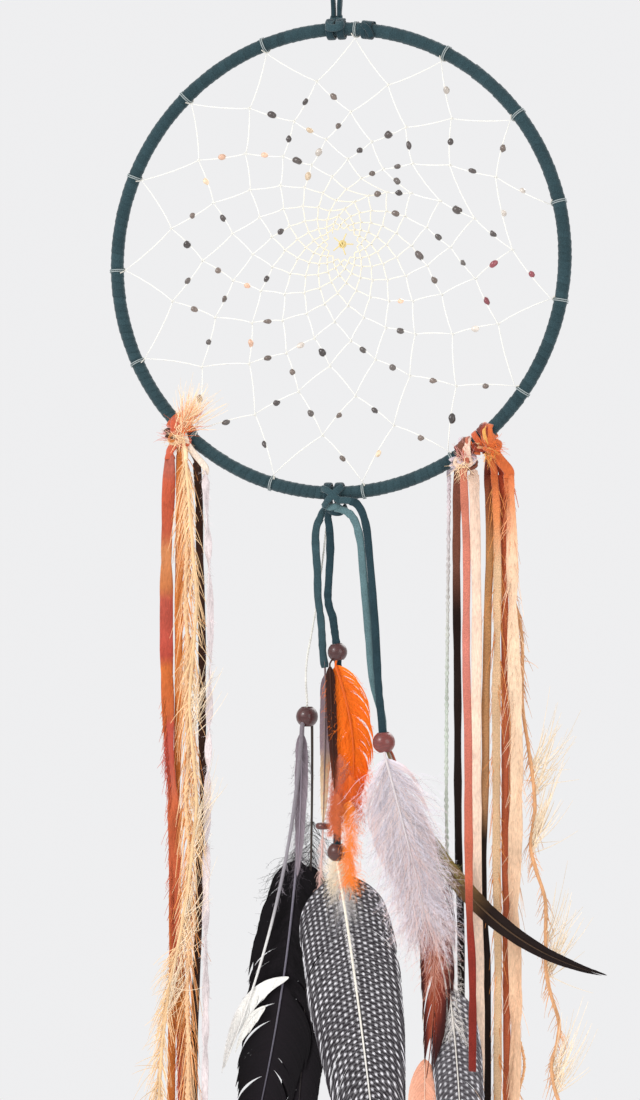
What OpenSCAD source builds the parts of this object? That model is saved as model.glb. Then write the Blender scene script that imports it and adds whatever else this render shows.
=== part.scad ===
// Dream catcher: a suede-wound hoop with a beaded web, three feather drops and two bundles of streamers.
// Millimetres. The origin is the seat of the hanging loop on its nail; +Z is up and -Y faces the viewer.

/* [Hoop] */
// Diameter of the hoop, to the middle of its tube
hoop_d = 175; // [140:1:220]
// Diameter of the steel ring's wire
wire_d = 2.8; // [2:0.1:4]
// Thickness of the suede wound round the ring
wrap_t = 1.2; // [0.8:0.1:1.6]
// Thickness of the lace loops that grip the hoop
loop_t = 1.1; // [0.8:0.1:1.4]

/* [Web] */
// Number of hitches round the hoop
hitches = 15; // [9:1:21]
// Number of rounds of thread
rounds = 12; // [6:1:12]
// Size of each round against the one outside it
shrink = 0.8; // [0.78:0.01:0.84]
// Diameter of the thread
thread_d = 0.6; // [0.4:0.05:0.8]
// Diameter of a small web bead
chip_d = 2.8; // [2.4:0.1:3.4]
// Diameter of a large web bead
chunk_d = 3.4; // [2.8:0.1:4]
// Distance of the web's middle to the right of the hoop's
web_right = 2.5; // [-6:0.5:6]
// Distance of the web's middle above the hoop's
web_up = 6.8; // [-8:0.2:8]

/* [Laces and beads] */
// Width of a suede lace
lace_w = 3; // [2.4:0.1:3.6]
// Thickness of a suede lace
lace_t = 1.2; // [0.8:0.1:1.4]
// Diameter of the two outer wooden beads
bead_d = 8.4; // [7:0.1:9]
// Diameter of the two middle wooden beads
small_bead_d = 7.4; // [6.4:0.1:8]
// Diameter of the flat bead
disc_d = 5.6; // [4.6:0.1:5.8]
// Thickness of the flat bead
disc_h = 2.4; // [1.6:0.1:3]

/* [Feathers] */
// Thickness of a flat feather
vane_t = 0.8; // [0.5:0.05:0.9]
// Thickness of the orange feather's down
down_t = 2; // [1:0.1:2.2]
// Thickness of the large fluffy feather
fluff_t = 3.8; // [2:0.1:4.2]
// Diameter of a quill
quill_d = 1.2; // [0.8:0.1:1.4]

/* [Hidden] */
$fn = 32;

running_clear = 0.3;  // between a loop that rolls on the hoop and the suede
tight_clear = 0.05;   // between a loop that grips the hoop and the suede
skin_clear = 0.02;    // between the steel ring and the suede round it
bore_clear = 0.2;     // between a lace and the bore it runs in

wrap_r = wire_d / 2 + wrap_t;
loop_r = wrap_r + running_clear + loop_t;  // outside of a rolling loop
bead_bore = 2 * norm([lace_w / 2, lace_t + 0.05]) + 2 * bore_clear;

// The hanging loop of lace: up from the knot, over the nail and down again.
hanger_route = [
    [-1.1, 0, -48], [-1.2, 0, -44], [-1.6, 0, -38], [-2.2, 0, -31], [-2.8, 0, -24], [-3.3, 0, -17],
    [-3.6, 0, -10.5], [-3.6, 0, -5.5], [-3, 0, -2], [-1.7, 0, 0.1], [0, 0, 0.6], [1.7, 0, 0.1],
    [3, 0, -2], [3.6, 0, -5.5], [3.6, 0, -10.5], [3.3, 0, -17], [2.8, 0, -24], [2.2, 0, -31],
    [1.6, 0, -38], [1.2, 0, -44], [1.1, 0, -48]
];
hoop_top = hanger_route[0][2] - 0.5 - loop_r;
hoop_z = hoop_top - hoop_d / 2;

function hoop_point(a) = [hoop_d / 2 * cos(a), 0, hoop_z + hoop_d / 2 * sin(a)];

left_knot_angle = 225;
right_knot_angle = 308;
left_at = hoop_point(left_knot_angle);
right_at = hoop_point(right_knot_angle);
bottom_at = hoop_point(270);
// The angle that a length takes up along the hoop.
function arc(length) = length / (hoop_d / 2) * 180 / PI;

// Each web span runs from a hitch, which lies one thread in front, to the middle of the span inside it.
first_hitch = 13;
hitch_t = 0.4;
hitch_w = 1.2;
hook = thread_d + 0.1;
web_r = hoop_d / 2 - wrap_r - tight_clear - hitch_t - thread_d / 2 - 0.15;

function web_point(k, i) =
    let (a = first_hitch + 360 / hitches * (i + k / 2), s = pow(shrink, k))
    [web_right * (1 - s), 0, hoop_z + web_up * (1 - s)] + web_r * s * [cos(a), 0, sin(a)];
function web_hitch(k, i) = web_point(k, i) + [0, -hook, 0];
web_route = [
    for (k = [0:rounds - 1]) for (i = [0:hitches - 1]) each [web_hitch(k, i), web_point(k + 1, i)]
];

// Routes of the laces and the thread that hold the drops, from the bottom of the hoop.
left_thread_route = [
    [-4.5, 3.6, -9.4], [-5.2, 3.9, -14], [-6, 4.3, -20], [-7, 4.8, -27], [-8.2, 5.3, -34],
    [-9.3, 5.8, -41], [-10.6, 6.2, -48], [-12, 6.6, -55], [-13.3, 7, -61], [-14.1, 7.5, -67],
    [-14.3, 8, -72], [-14.2, 8.3, -76], [-14, 8.5, -79], [-14, 8.5, -82], [-14, 8.5, -85]
];
middle_left_route = [
    [-6.8, 1.3, -9.6], [-8, 1.3, -12], [-8.6, 1.3, -15.5], [-8.6, 1.3, -19], [-8.3, 1.3, -24],
    [-7.9, 1.3, -29], [-7.8, 1.3, -34], [-7.7, 1.3, -39], [-7.2, 1.3, -43], [-6.6, 1.3, -47],
    [-6.2, 1.3, -51.5], [-6, 1.3, -55.5], [-5.8, 1.3, -59.5], [-5.4, 1.3, -63], [-4.9, 1.3, -66]
];
middle_right_route = [
    [-3.4, -0.1, -9.6], [-2.8, -0.1, -13], [-2.5, -0.1, -18], [-2.5, -0.1, -24], [-2.8, -0.1, -29],
    [-3.1, -0.1, -34], [-3.4, -0.1, -38.5], [-3.1, 0, -42], [-2.4, 0, -44.5], [-1.6, 0, -46.5],
    [-1.26, 0, -48.5], [-0.98, 0, -50.5], [-0.7, 0, -52.5], [-0.35, 0, -55], [0, 0, -57.5],
    [0.35, 0, -60]
];
middle_lower_route = [
    [0.4, 0, -60.6], [0.5, 0.2, -64.5], [0.6, 0.8, -69], [0.6, 1.2, -75], [0.6, 1.2, -82],
    [0.6, 1.2, -89], [0.6, 1.2, -96], [0.6, 1.2, -103], [0.5, 1.2, -109], [0.4, 1.1, -115],
    [0.3, 0.7, -120], [0.2, 0.2, -124], [0.2, 0, -127], [0.2, 0, -131], [0.2, 0, -135.5]
];
right_outer_route = [
    [6.6, -4.4, -3.2], [8.8, -4.4, -4], [10.7, -4.6, -6.4], [12, -4.8, -9.5], [13.1, -5, -14],
    [13.9, -5.4, -20], [14.9, -6, -29], [15.8, -6.6, -38], [16.7, -7.2, -47], [17.4, -7.8, -56],
    [18, -8.4, -65], [18.7, -9, -73], [19.2, -9.15, -78], [19.7, -9.15, -83.2], [20.15, -9.15, -88.2],
    [20.6, -9.15, -93.2]
];
right_inner_route = [
    [5.6, -4.2, -7.4], [7.2, -4.2, -8.9], [8.7, -4.4, -11.5], [9.8, -4.6, -15], [10.8, -4.9, -20],
    [11.7, -5.3, -29], [12.6, -5.7, -38], [13.6, -6.2, -47], [14.5, -6.7, -56], [15.3, -7.1, -65],
    [16.4, -7.4, -72], [17.6, -7.6, -76], [18.9, -7.8, -79.8], [19.6, -7.85, -83], [20.15, -7.85, -88.2],
    [20.6, -7.85, -93.2]
];
// The inner lace hangs beside the outer one: what a wider lace adds moves it aside, but not at its two ends.
route_lace_w = 3;
function beside(route) = let (last = len(route) - 1) [
    for (i = [0:last]) route[i] - [(lace_w - route_lace_w) * min(1, i / 3, (last - i) / 4), 0, 0]
];

// Routes of the left bundle, from the middle of the hoop's tube at its knot.
coral_route = [
    [-2.8, -4.6, -11], [-3.3, -5.2, -28], [-4, -5.2, -47], [-4, -5.2, -66], [-4, -5.2, -85],
    [-3.5, -5.2, -104], [-2.8, -5.2, -123], [-1.2, -5.2, -142], [-0.6, -5.2, -160], [-0.4, -5.2, -179],
    [0.4, -5.2, -198], [1.6, -5.2, -217], [2.7, -5.2, -236], [3.1, -5.2, -255], [3.2, -5.2, -274],
    [3, -5.2, -292], [2.6, -5.2, -308]
];
gold_route = [
    [0.8, -3.4, -11], [0.8, -3.6, -28], [0.6, -3.6, -47], [0.4, -3.6, -66], [0.4, -3.6, -85],
    [0.4, -3.6, -104], [0, -3.6, -123], [-0.8, -3.6, -142], [-1.6, -3.6, -160], [-2, -3.6, -179],
    [-2, -3.6, -198], [-2.2, -3.6, -217], [-2.4, -3.6, -236], [-2.6, -3.6, -255], [-2.8, -3.6, -274],
    [-3, -3.6, -292], [-3.2, -3.6, -310], [-3, -3.6, -326]
];
cream_yarn_route = [
    [3.7, -6, -11], [4.1, -7.2, -28], [4.9, -7.2, -47], [4.3, -7.2, -66], [5.3, -7.2, -85],
    [4.6, -7.2, -104], [5.6, -7.2, -123], [4.6, -7.2, -142], [5.7, -7.2, -160], [4.9, -7.2, -179],
    [5.5, -7.2, -198], [4.9, -7.2, -217], [5.5, -7.2, -236], [5.2, -7.2, -255], [5.7, -7.2, -274],
    [5.1, -7.2, -292], [5.5, -7.2, -303]
];
dark_route = [
    [7.9, -4.4, -14], [8.9, -4.6, -28], [9.1, -4.6, -47], [9.7, -4.6, -66], [10.1, -4.6, -85],
    [10.1, -4.6, -104], [10.2, -4.6, -123], [10.7, -4.6, -142], [9.3, -4.6, -158], [9, -4.6, -179],
    [8.3, -4.6, -198], [7.5, -4.6, -217], [6.9, -4.6, -236], [6.9, -4.6, -255], [7.1, -4.6, -274],
    [7.3, -4.6, -292], [7.2, -4.6, -310], [7, -4.6, -321]
];
pale_route = [
    [11.7, -6.1, -17], [12.4, -6.6, -28], [13.2, -6.6, -47], [14, -6.6, -66], [14, -6.6, -85],
    [13.7, -6.6, -104], [13.2, -6.6, -123], [12.8, -6.6, -142], [12.5, -6.6, -160], [12.2, -6.6, -179],
    [12.1, -6.6, -198], [12.2, -6.6, -217], [12, -6.6, -236], [11.8, -6.6, -255], [11.6, -6.6, -274],
    [11.6, -6.6, -292], [11.8, -6.6, -299]
];
eyelash_left_route = [
    [4.7, -8.3, -12], [6.3, -9, -28], [7.9, -9.4, -47], [9.4, -9.4, -66], [8.2, -9.4, -85],
    [6.7, -9.4, -104], [7.9, -9.4, -123], [9.4, -9.4, -142], [7.9, -9.4, -160], [5.5, -9.4, -179],
    [2, -9.4, -198], [-1.9, -9.4, -217], [-4.3, -9.4, -236], [-5.5, -9.4, -255], [-6.2, -9.4, -274],
    [-6.6, -9.4, -292], [-6.2, -9.4, -310]
];

// Routes of the right bundle, from the middle of the hoop's tube between its knots.
grey_green_route = [
    [-10.9, 2.4, -12], [-11, 2.4, -22], [-11.2, 2.4, -41], [-11.4, 2.4, -60], [-11.6, 2.4, -79],
    [-11.8, 2.4, -98], [-11.9, 2.4, -117], [-11.9, 2.4, -136], [-11.6, 2.4, -155], [-11.3, 2.4, -174],
    [-11.1, 2.4, -193], [-11.2, 2.4, -212], [-11.4, 2.4, -231], [-11.5, 2.4, -250], [-11.4, 2.4, -262]
];
black_route = [
    [-7.6, 2.6, -12], [-7.9, 2.6, -22], [-8.1, 2.6, -41], [-8, 2.6, -60], [-7.8, 2.6, -79],
    [-7.6, 2.6, -98], [-7.6, 2.6, -117], [-7.5, 2.6, -136], [-7.2, 2.6, -155], [-6.6, 2.6, -174],
    [-6.3, 2.6, -193], [-6.3, 2.6, -212], [-6.2, 2.6, -231], [-6.1, 2.6, -250], [-6.3, 2.6, -269],
    [-6.5, 2.6, -287], [-6.4, 2.6, -302]
];
rust_front_route = [
    [-3.7, -4.6, -12], [-3.2, -5.2, -22], [-2.3, -6.2, -36], [-1.9, -7.3, -50], [-1.8, -8.4, -64],
    [-1.6, -9.5, -78], [-1.1, -10.6, -92], [-0.4, -11.8, -106], [0, -13, -120], [0.2, -13.8, -134],
    [0.4, -14.2, -148], [0.5, -14.2, -162], [0.8, -14.2, -176], [1.6, -14.2, -190], [1.9, -14.1, -204],
    [1.8, -13.9, -218], [1.7, -13.7, -232]
];
cream_ribbon_route = [
    [-1.3, 1.6, -12], [-0.9, 1.6, -22], [-0.5, 1.6, -41], [-0.1, 1.6, -60], [-0.1, 1.6, -79],
    [-0.3, 1.6, -98], [-0.3, 1.6, -117], [-0.3, 1.6, -136], [-0.2, 1.6, -155], [0.1, 1.6, -174],
    [0.7, 1.6, -193], [0.9, 1.6, -212], [0.9, 1.6, -231], [0.8, 1.6, -250], [0.9, 1.6, -269],
    [1, 1.6, -287], [0.9, 1.6, -305], [0.9, 1.6, -315]
];
brown_route = [
    [3.7, 3.4, -12], [4.3, 3.4, -22], [4.5, 3.4, -41], [3.8, 3.4, -60], [3.4, 3.4, -79],
    [2.9, 3.4, -98], [2.9, 3.4, -117], [2.5, 3.4, -136], [1.8, 3.4, -155], [2.1, 3.4, -174],
    [3.3, 3.4, -193], [3.5, 3.4, -212], [3.5, 3.4, -231], [3.5, 3.4, -250], [3.4, 3.4, -269],
    [3.3, 3.4, -287], [3.4, 3.4, -305], [3.5, 3.4, -322]
];
taupe_route = [
    [6.5, 1.8, -12], [7.3, 1.8, -22], [7.7, 1.8, -41], [7.7, 1.8, -60], [7.6, 1.8, -79],
    [7.3, 1.8, -98], [7.3, 1.8, -117], [7.3, 1.8, -136], [7.4, 1.8, -155], [7.7, 1.8, -174],
    [8, 1.8, -193], [7.9, 1.8, -212], [7.8, 1.8, -231], [7.7, 1.8, -250], [7.7, 1.8, -269],
    [7.9, 1.8, -287], [7.8, 1.8, -296]
];
rust_outer_route = [
    [9, 3.2, -12], [9.6, 3.2, -22], [9.8, 3.2, -41], [10, 3.2, -60], [10.4, 3.2, -79],
    [10.4, 3.2, -98], [10.4, 3.2, -117], [10.4, 3.2, -136], [10.6, 3.2, -155], [10.8, 3.2, -174],
    [11, 3.2, -193], [11, 3.2, -212], [11, 3.2, -231], [10.9, 3.2, -250], [10.8, 3.2, -269],
    [10.9, 3.2, -287], [11, 3.2, -305], [11, 3.2, -311]
];
peach_ribbon_route = [
    [12, 1.5, -12], [12.8, 1.5, -22], [13.4, 1.5, -41], [13.6, 1.5, -60], [14, 1.5, -79],
    [14.8, 1.5, -98], [15.2, 1.5, -117], [14.9, 1.5, -136], [14.4, 1.5, -155], [14, 1.5, -174],
    [14.4, 1.5, -193], [14.8, 1.5, -212], [14.6, 1.5, -231], [14.2, 1.5, -250], [14, 1.5, -269],
    [14.3, 1.5, -287], [14.5, 1.5, -300]
];
eyelash_right_route = [
    [9.9, 4.9, -12], [10.7, 4.9, -22], [11.5, 4.9, -41], [12.7, 4.9, -55], [15, 4.9, -65],
    [16.5, 4.9, -75], [16.6, 4.9, -97], [18.6, 4.9, -112], [20.5, 4.9, -125], [21.3, 4.9, -137],
    [19.7, 4.9, -150], [21.7, 4.9, -159], [25.2, 4.9, -170], [25.4, 4.9, -183], [25.6, 4.9, -197],
    [27.6, 4.9, -206], [30.5, 4.9, -216], [29.3, 4.9, -225], [27.6, 4.9, -232], [29, 4.9, -241],
    [31.5, 4.9, -248], [33, 4.9, -257], [30.7, 4.9, -267], [29, 4.9, -276], [31, 4.9, -286],
    [32.6, 4.9, -295], [30.7, 4.9, -304]
];
curly_route = [
    [8.3, 6.4, -12], [8.8, 6.4, -25], [9.5, 6.4, -41], [10.3, 6.4, -60], [10.7, 6.4, -79],
    [11.3, 6.4, -98], [11.5, 6.4, -117], [11.3, 6.4, -136], [11.5, 6.4, -155], [11.8, 6.4, -174],
    [11.7, 6.4, -193], [11.6, 6.4, -207], [12.6, 6.4, -217], [15.8, 6.4, -225], [17, 6.4, -233],
    [15, 6.4, -242], [12.7, 6.4, -252], [14, 6.4, -262], [16.2, 6.4, -272], [15, 6.4, -282],
    [13.4, 6.4, -291]
];

left_bead_at = bottom_at + left_thread_route[len(left_thread_route) - 1];
middle_bead_at = bottom_at + middle_right_route[len(middle_right_route) - 1];
lower_bead_at = bottom_at + middle_lower_route[len(middle_lower_route) - 1];
right_bead_at = bottom_at + [20.6, -8.5, -93.2];
flat_bead_at = bottom_at + [-5.7, 1.4, -125.9];
middle_tilt = -8;
right_tilt = -5;

function unit(v) = v / norm(v);

// A flat or round strand swept along a route; its width lies along the direction called flat.
module strand(route, w, t, flat = [1, 0, 0], sides = 8) {
    n = len(route);
    rim = 1 / cos(180 / sides);
    points = [
        for (i = [0:n - 1])
            let (
                along = unit(route[min(i + 1, n - 1)] - route[max(i - 1, 0)]),
                thick = unit(cross(along, flat)),
                wide = cross(thick, along)
            )
            for (k = [0:sides - 1])
                let (a = (k + 0.5) * 360 / sides)
                route[i] + rim * (wide * w / 2 * cos(a) + thick * t / 2 * sin(a))
    ];
    walls = [
        for (i = [0:n - 2]) for (k = [0:sides - 1])
            let (a = i * sides + k, b = i * sides + (k + 1) % sides)
            each [[a, b, b + sides], [a, b + sides, a + sides]]
    ];
    ends = [
        [for (k = [sides - 1:-1:0]) k],
        [for (k = [0:sides - 1]) (n - 1) * sides + k]
    ];
    polyhedron(points, concat(walls, ends));
}

function curve(a, b, c, t) = a * pow(1 - t, 2) + b * 2 * t * (1 - t) + c * t * t;

// A flat feather hung from bottom_at: a quill, then a vane that is widest a third of the way down.
module feather(base, bend, tip, stem, left, right, y, thick) {
    steps = 18;
    function half(t, w) =
        t < stem ? quill_d / 2
        : max(quill_d / 2, w * pow(max(0, sin(180 * pow((t - stem) / (1 - stem), 0.6))), 0.6));
    function side(t, w) =
        let (d = unit((bend - base) * (1 - t) + (tip - bend) * t))
        curve(base, bend, tip, t) + w * [d[1], -d[0]];
    outline = concat(
        [for (i = [0:steps]) side(i / steps, half(i / steps, left))],
        [for (i = [steps:-1:0]) side(i / steps, -half(i / steps, right))]
    );
    translate(bottom_at + [0, y, 0]) rotate([90, 0, 0])
        linear_extrude(thick, center = true) polygon(outline);
}

// Places a child at an angle round the hoop, with Z along the tube and X pointing outwards.
module on_hoop(a) {
    translate([0, 0, hoop_z]) rotate([0, -a, 0]) translate([hoop_d / 2, 0, 0]) children();
}

module tube_loop(w, clear) {
    difference() {
        cylinder(r = wrap_r + clear + loop_t, h = w, center = true, $fn = 48);
        cylinder(r = wrap_r + clear, h = w + 1, center = true, $fn = 48);
    }
}

module bored_ball(d, bore) {
    difference() {
        sphere(d = d, $fn = 48);
        cylinder(d = bore, h = d + 1, center = true);
    }
}

// A web bead threaded on one half of a span: half 0 leaves the hitch, half 1 returns to the next one.
module chip(k, i, half, d) {
    a = half == 0 ? web_hitch(k, i) : web_point(k + 1, i);
    b = half == 0 ? web_point(k + 1, i)
        : i == hitches - 1 ? web_hitch(k + 1, 0) : web_hitch(k, i + 1);
    along = unit(b - a);
    translate((a + b) / 2) rotate(acos(along[2]), cross([0, 0, 1], along))
        bored_ball(d, thread_d + 0.4);
}

module x_rod(r, length) {
    rotate([0, 90, 0]) cylinder(r = r, h = length, center = true);
}

module hanger_lace() {
    color("#3f5a5c") strand(hanger_route, lace_w, lace_t, [0, 1, 0]);
}

module hanger_knot() {
    color("#36505a") {
        for (dx = [-2, 2]) translate([dx, 0, hoop_top]) rotate([0, 90, 0])
            tube_loop(lace_w, running_clear);
        translate([0, -loop_r - 0.4, hoop_top]) x_rod(1.4, 6);
    }
}

module hoop_ring() {
    color("silver") translate([0, 0, hoop_z]) rotate([90, 0, 0])
        rotate_extrude($fn = 180) translate([hoop_d / 2, 0]) circle(d = wire_d);
}

module hoop_wrap() {
    color("#3f5a5c") translate([0, 0, hoop_z]) rotate([90, 0, 0])
        rotate_extrude($fn = 180) translate([hoop_d / 2, 0]) difference() {
            circle(r = wrap_r);
            circle(d = wire_d + 2 * skin_clear);
        }
}

module wrap_end() {
    color("#36505a") on_hoop(82) tube_loop(3.4, tight_clear);
}

module hoop_hitches() {
    color("#e9e4d4") for (i = [0:hitches - 1]) on_hoop(first_hitch + 360 / hitches * i) difference() {
        cylinder(r = wrap_r + tight_clear + hitch_t, h = hitch_w, center = true, $fn = 48);
        cylinder(r = wrap_r + tight_clear, h = hitch_w + 1, center = true, $fn = 48);
    }
}

module web_thread() {
    color("#efe9da") strand(web_route, thread_d, thread_d, [0, 1, 0], 6);
}

module web_centre_knot() {
    reach = web_r * pow(shrink, rounds) - thread_d - 0.3;
    color("#e3cf8e") translate([web_right * (1 - pow(shrink, rounds)), 0,
                                hoop_z + web_up * (1 - pow(shrink, rounds))]) {
        rotate([90, 0, 0]) cylinder(r = 1.7, h = 1.6, center = true);
        for (a = [20:72:308]) rotate([0, a, 0]) cylinder(d = thread_d, h = reach, $fn = 16);
    }
}

// Beads on the web, each as [round, span, half].
module web_beads_dark() {
    spots = [
        [0, 0, 1], [0, 8, 1], [0, 9, 0], [0, 9, 1], [0, 10, 1], [0, 11, 1], [0, 12, 1], [1, 0, 0],
        [1, 0, 1], [1, 2, 1], [1, 3, 0], [1, 5, 1], [1, 6, 1], [1, 7, 0], [1, 7, 1], [1, 9, 0],
        [1, 9, 1], [1, 10, 0], [1, 10, 1], [1, 11, 1], [1, 14, 0], [2, 0, 1], [2, 2, 0], [2, 3, 0],
        [2, 5, 0], [2, 6, 0], [2, 6, 1], [2, 8, 0], [2, 8, 1], [2, 10, 1], [2, 13, 0], [3, 0, 0],
        [3, 1, 0], [3, 7, 0], [3, 9, 1], [3, 10, 1], [3, 12, 0], [3, 13, 0], [3, 14, 1], [4, 0, 0],
        [4, 5, 1], [4, 14, 0], [5, 3, 1], [5, 13, 0], [5, 14, 0]
    ];
    color("#4b403c") for (s = spots) chip(s[0], s[1], s[2], chip_d);
}

module web_beads_large() {
    spots = [
        [0, 12, 0], [1, 3, 1], [1, 6, 0], [2, 1, 0], [2, 14, 0], [3, 2, 1], [3, 8, 1], [4, 12, 0]
    ];
    color("#3a3230") for (s = spots) chip(s[0], s[1], s[2], chunk_d);
}

module web_beads_garnet() {
    spots = [
        [0, 14, 0], [1, 13, 0], [1, 13, 1]
    ];
    color("#7d3a40") for (s = spots) chip(s[0], s[1], s[2], chip_d);
}

module web_beads_pale() {
    spots = [
        [0, 0, 0], [0, 1, 1], [0, 11, 0], [0, 14, 1], [1, 4, 1], [1, 5, 0], [1, 12, 1], [2, 2, 1],
        [2, 3, 1], [2, 7, 1], [3, 2, 0], [3, 6, 0], [3, 8, 0], [4, 2, 0], [4, 10, 1]
    ];
    color("#d9c3a4") for (s = spots) chip(s[0], s[1], s[2], chip_d);
}

module centre_knot() {
    color("#2f474d") {
        for (dx = [-3.2, 1.2]) translate(bottom_at + [dx, 0, 0]) rotate([0, 90, 0])
            tube_loop(lace_w, running_clear);
        translate(bottom_at + [-1, -loop_r - 0.4, 0]) x_rod(1.4, 7);
        translate(bottom_at + [-1, -0.6, -loop_r - 1.8]) x_rod(2.3, 7);
    }
}

module left_knot() {
    spread = 2.1;
    color("#c9713f") {
        for (a = [-spread, 0, spread]) on_hoop(left_knot_angle + a) tube_loop(lace_w, tight_clear);
        on_hoop(left_knot_angle) translate([0, -wrap_r - loop_t - 0.3, 0])
            cylinder(r = 1.3, h = 9, center = true);
        translate(left_at + [3, -wrap_r - tight_clear - hitch_t - 2.6, -5.6]) x_rod(2.4, 16);
    }
}

module left_tuft() {
    color("#f0c79a") translate(left_at + [3.8, -7.4, 1.2]) rotate([0, 34, 0])
        cylinder(r1 = 1.5, r2 = 3.6, h = 15);
}

module right_knot(a, dx) {
    for (da = [-arc(1.7), arc(1.7)]) on_hoop(a + da) tube_loop(lace_w, tight_clear);
    on_hoop(a) translate([0, -wrap_r - loop_t - 0.3, 0]) cylinder(r = 1.3, h = 6, center = true);
    translate(hoop_point(a) + [dx, -wrap_r - 2.6, -3.6]) x_rod(1.7, 9);
}

module right_knot_inner() {
    color("#7a4a4a") right_knot(right_knot_angle - arc(4.3), 0);
}

module right_knot_outer() {
    color("#b65f38") right_knot(right_knot_angle + arc(4), 2);
}

module left_thread() {
    color("#d8d5c8") translate(bottom_at) strand(left_thread_route, 1, 1);
}

module left_bead() {
    color("#6d3b3a") translate(left_bead_at) bored_ball(bead_d, bead_bore);
}

module grey_down_feather() {
    color("#9a919b") feather([-15.6, -89], [-15.4, -118], [-17.2, -145.5], 0.04, 2.2, 2.2, 6.2, 1.2);
}

module black_feather_left() {
    color("#1d1a20") feather([-15.4, -89], [-16.5, -187.5], [-44.7, -282], 0.26, 13.4, 15, 7.9, vane_t);
}

module black_feather_right() {
    color("#26222a") feather([-12.1, -89], [-11.4, -176], [-20.8, -272.5], 0.3, 9.5, 9.5, 9.1, vane_t);
}

module white_feather() {
    color("#e6e3da") feather([-15, -89], [-18.9, -155.5], [-46.6, -221], 0.7, 3.6, 4.6, 5.2, 0.6);
}

module middle_lace_left() {
    color("#3f5a5c") translate(bottom_at) strand(middle_left_route, lace_w, lace_t);
}

module middle_lace_right() {
    color("#36505a") translate(bottom_at) strand(middle_right_route, lace_w, lace_t);
}

module middle_lace_lower() {
    color("#36505a") translate(bottom_at) strand(middle_lower_route, lace_w, lace_t);
}

module middle_bead() {
    color("#6d3b3a") translate(middle_bead_at) rotate([0, middle_tilt, 0]) bored_ball(small_bead_d, bead_bore);
}

module lower_bead() {
    color("#6d3b3a") translate(lower_bead_at) bored_ball(small_bead_d, bead_bore);
}

module flat_bead() {
    color("#55302c") translate(flat_bead_at) difference() {
        cylinder(d = disc_d, h = disc_h, center = true);
        cylinder(d = 2 * quill_d, h = disc_h + 1, center = true);
    }
}

module orange_feather() {
    color("#e8762a") feather([0.2, -65], [12.5, -98], [3.4, -121.5], 0.02, 7.6, 7.6, -1.4, down_t);
}

module dark_feather() {
    color("#3a1c14") feather([-1.8, -64.4], [-0.6, -88], [0, -112], 0.04, 1.9, 1.9, -3, vane_t);
}

module mauve_feather() {
    color("#8b7b84") feather([-4.8, -67], [-4.6, -96], [-5.7, -125.7], 0.06, 2.2, 2.2, 1.4, vane_t);
}

module cream_feather() {
    color("#e8cdbf") feather([-5.7, -126.1], [-5.9, -137], [-7.1, -149.4], 0.18, 1.6, 1.6, 1.4, vane_t);
}

module guinea_feather_large() {
    color("#55555a") feather([0.2, -136.3], [9.4, -187.5], [20.3, -287.5], 0.07, 20, 16.5, -0.7, vane_t);
}

module right_lace_outer() {
    color("#36505a") translate(bottom_at) strand(right_outer_route, lace_w, lace_t);
}

module right_lace_inner() {
    color("#5b7a7c") translate(bottom_at) strand(beside(right_inner_route), lace_w, lace_t);
}

module right_bead() {
    color("#8a4a3a") translate(right_bead_at) rotate([0, right_tilt, 0]) bored_ball(bead_d, bead_bore);
}

module fluffy_feather() {
    color("#c8c0c4") feather([21.5, -97.8], [27, -131], [37.5, -163], 0.03, 13, 12, -10.5, fluff_t);
}

module rust_feather() {
    color("#7b3524") feather([23.6, -97.8], [46.3, -153.6], [36.5, -218], 0.3, 4.6, 4.6, -6.8, vane_t);
}

module curved_feather() {
    color("#2a201c") feather([22.3, -97.8], [48.6, -166.8], [104.6, -177], 0.2, 3.4, 3.4, -7.9, 0.7);
}

module guinea_feather_small() {
    color("#6a6a6e") feather([22.5, -97.8], [50.7, -164.9], [49.2, -280], 0.54, 10.5, 10.5, -5.7, 0.7);
}

module peach_feather() {
    color("#e3a486") feather([22.3, -97.8], [41.8, -164.9], [37.1, -276], 0.66, 5.5, 5.5, -4.7, 0.6);
}

module coral_ribbon() {
    color("#cd6a50") translate(left_at) strand(coral_route, 5, 0.8);
}

module gold_lace() {
    color("#d89a4e") translate(left_at) strand(gold_route, lace_w, lace_t);
}

module cream_yarn() {
    color("#f3d6ac") translate(left_at) strand(cream_yarn_route, 2.4, 2.4);
}

module dark_lace() {
    color("#332019") translate(left_at) strand(dark_route, lace_w, lace_t);
}

module pale_ribbon() {
    color("#d8cbc4") translate(left_at) strand(pale_route, 3, 0.6);
}

module eyelash_yarn_left() {
    color("#f0d9b8") translate(left_at) strand(eyelash_left_route, 1.2, 1.2);
}

module grey_green_cord() {
    color("#b9c2b6") translate(right_at) strand(grey_green_route, 1.8, 1.8);
}

module black_lace() {
    color("#15100f") translate(right_at) strand(black_route, lace_w, lace_t);
}

module rust_lace_front() {
    color("#c0603c") translate(right_at) strand(rust_front_route, lace_w, lace_t);
}

module cream_ribbon() {
    color("#f6e3cb") translate(right_at) strand(cream_ribbon_route, 4, 0.8);
}

module brown_lace() {
    color("#4b2f22") translate(right_at) strand(brown_route, lace_w, lace_t);
}

module taupe_lace() {
    color("#c7ad96") translate(right_at) strand(taupe_route, lace_w, lace_t);
}

module rust_lace_outer() {
    color("#8a4a2e") translate(right_at) strand(rust_outer_route, lace_w, lace_t);
}

module peach_ribbon() {
    color("#f4cda8") translate(right_at) strand(peach_ribbon_route, 5, 0.6);
}

module eyelash_yarn_right() {
    color("#d9bfa2") translate(right_at) strand(eyelash_right_route, 1.4, 1.4);
}

module curly_cord() {
    color("#e2c19a") translate(right_at) strand(curly_route, 1.4, 1.4);
}

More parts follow.
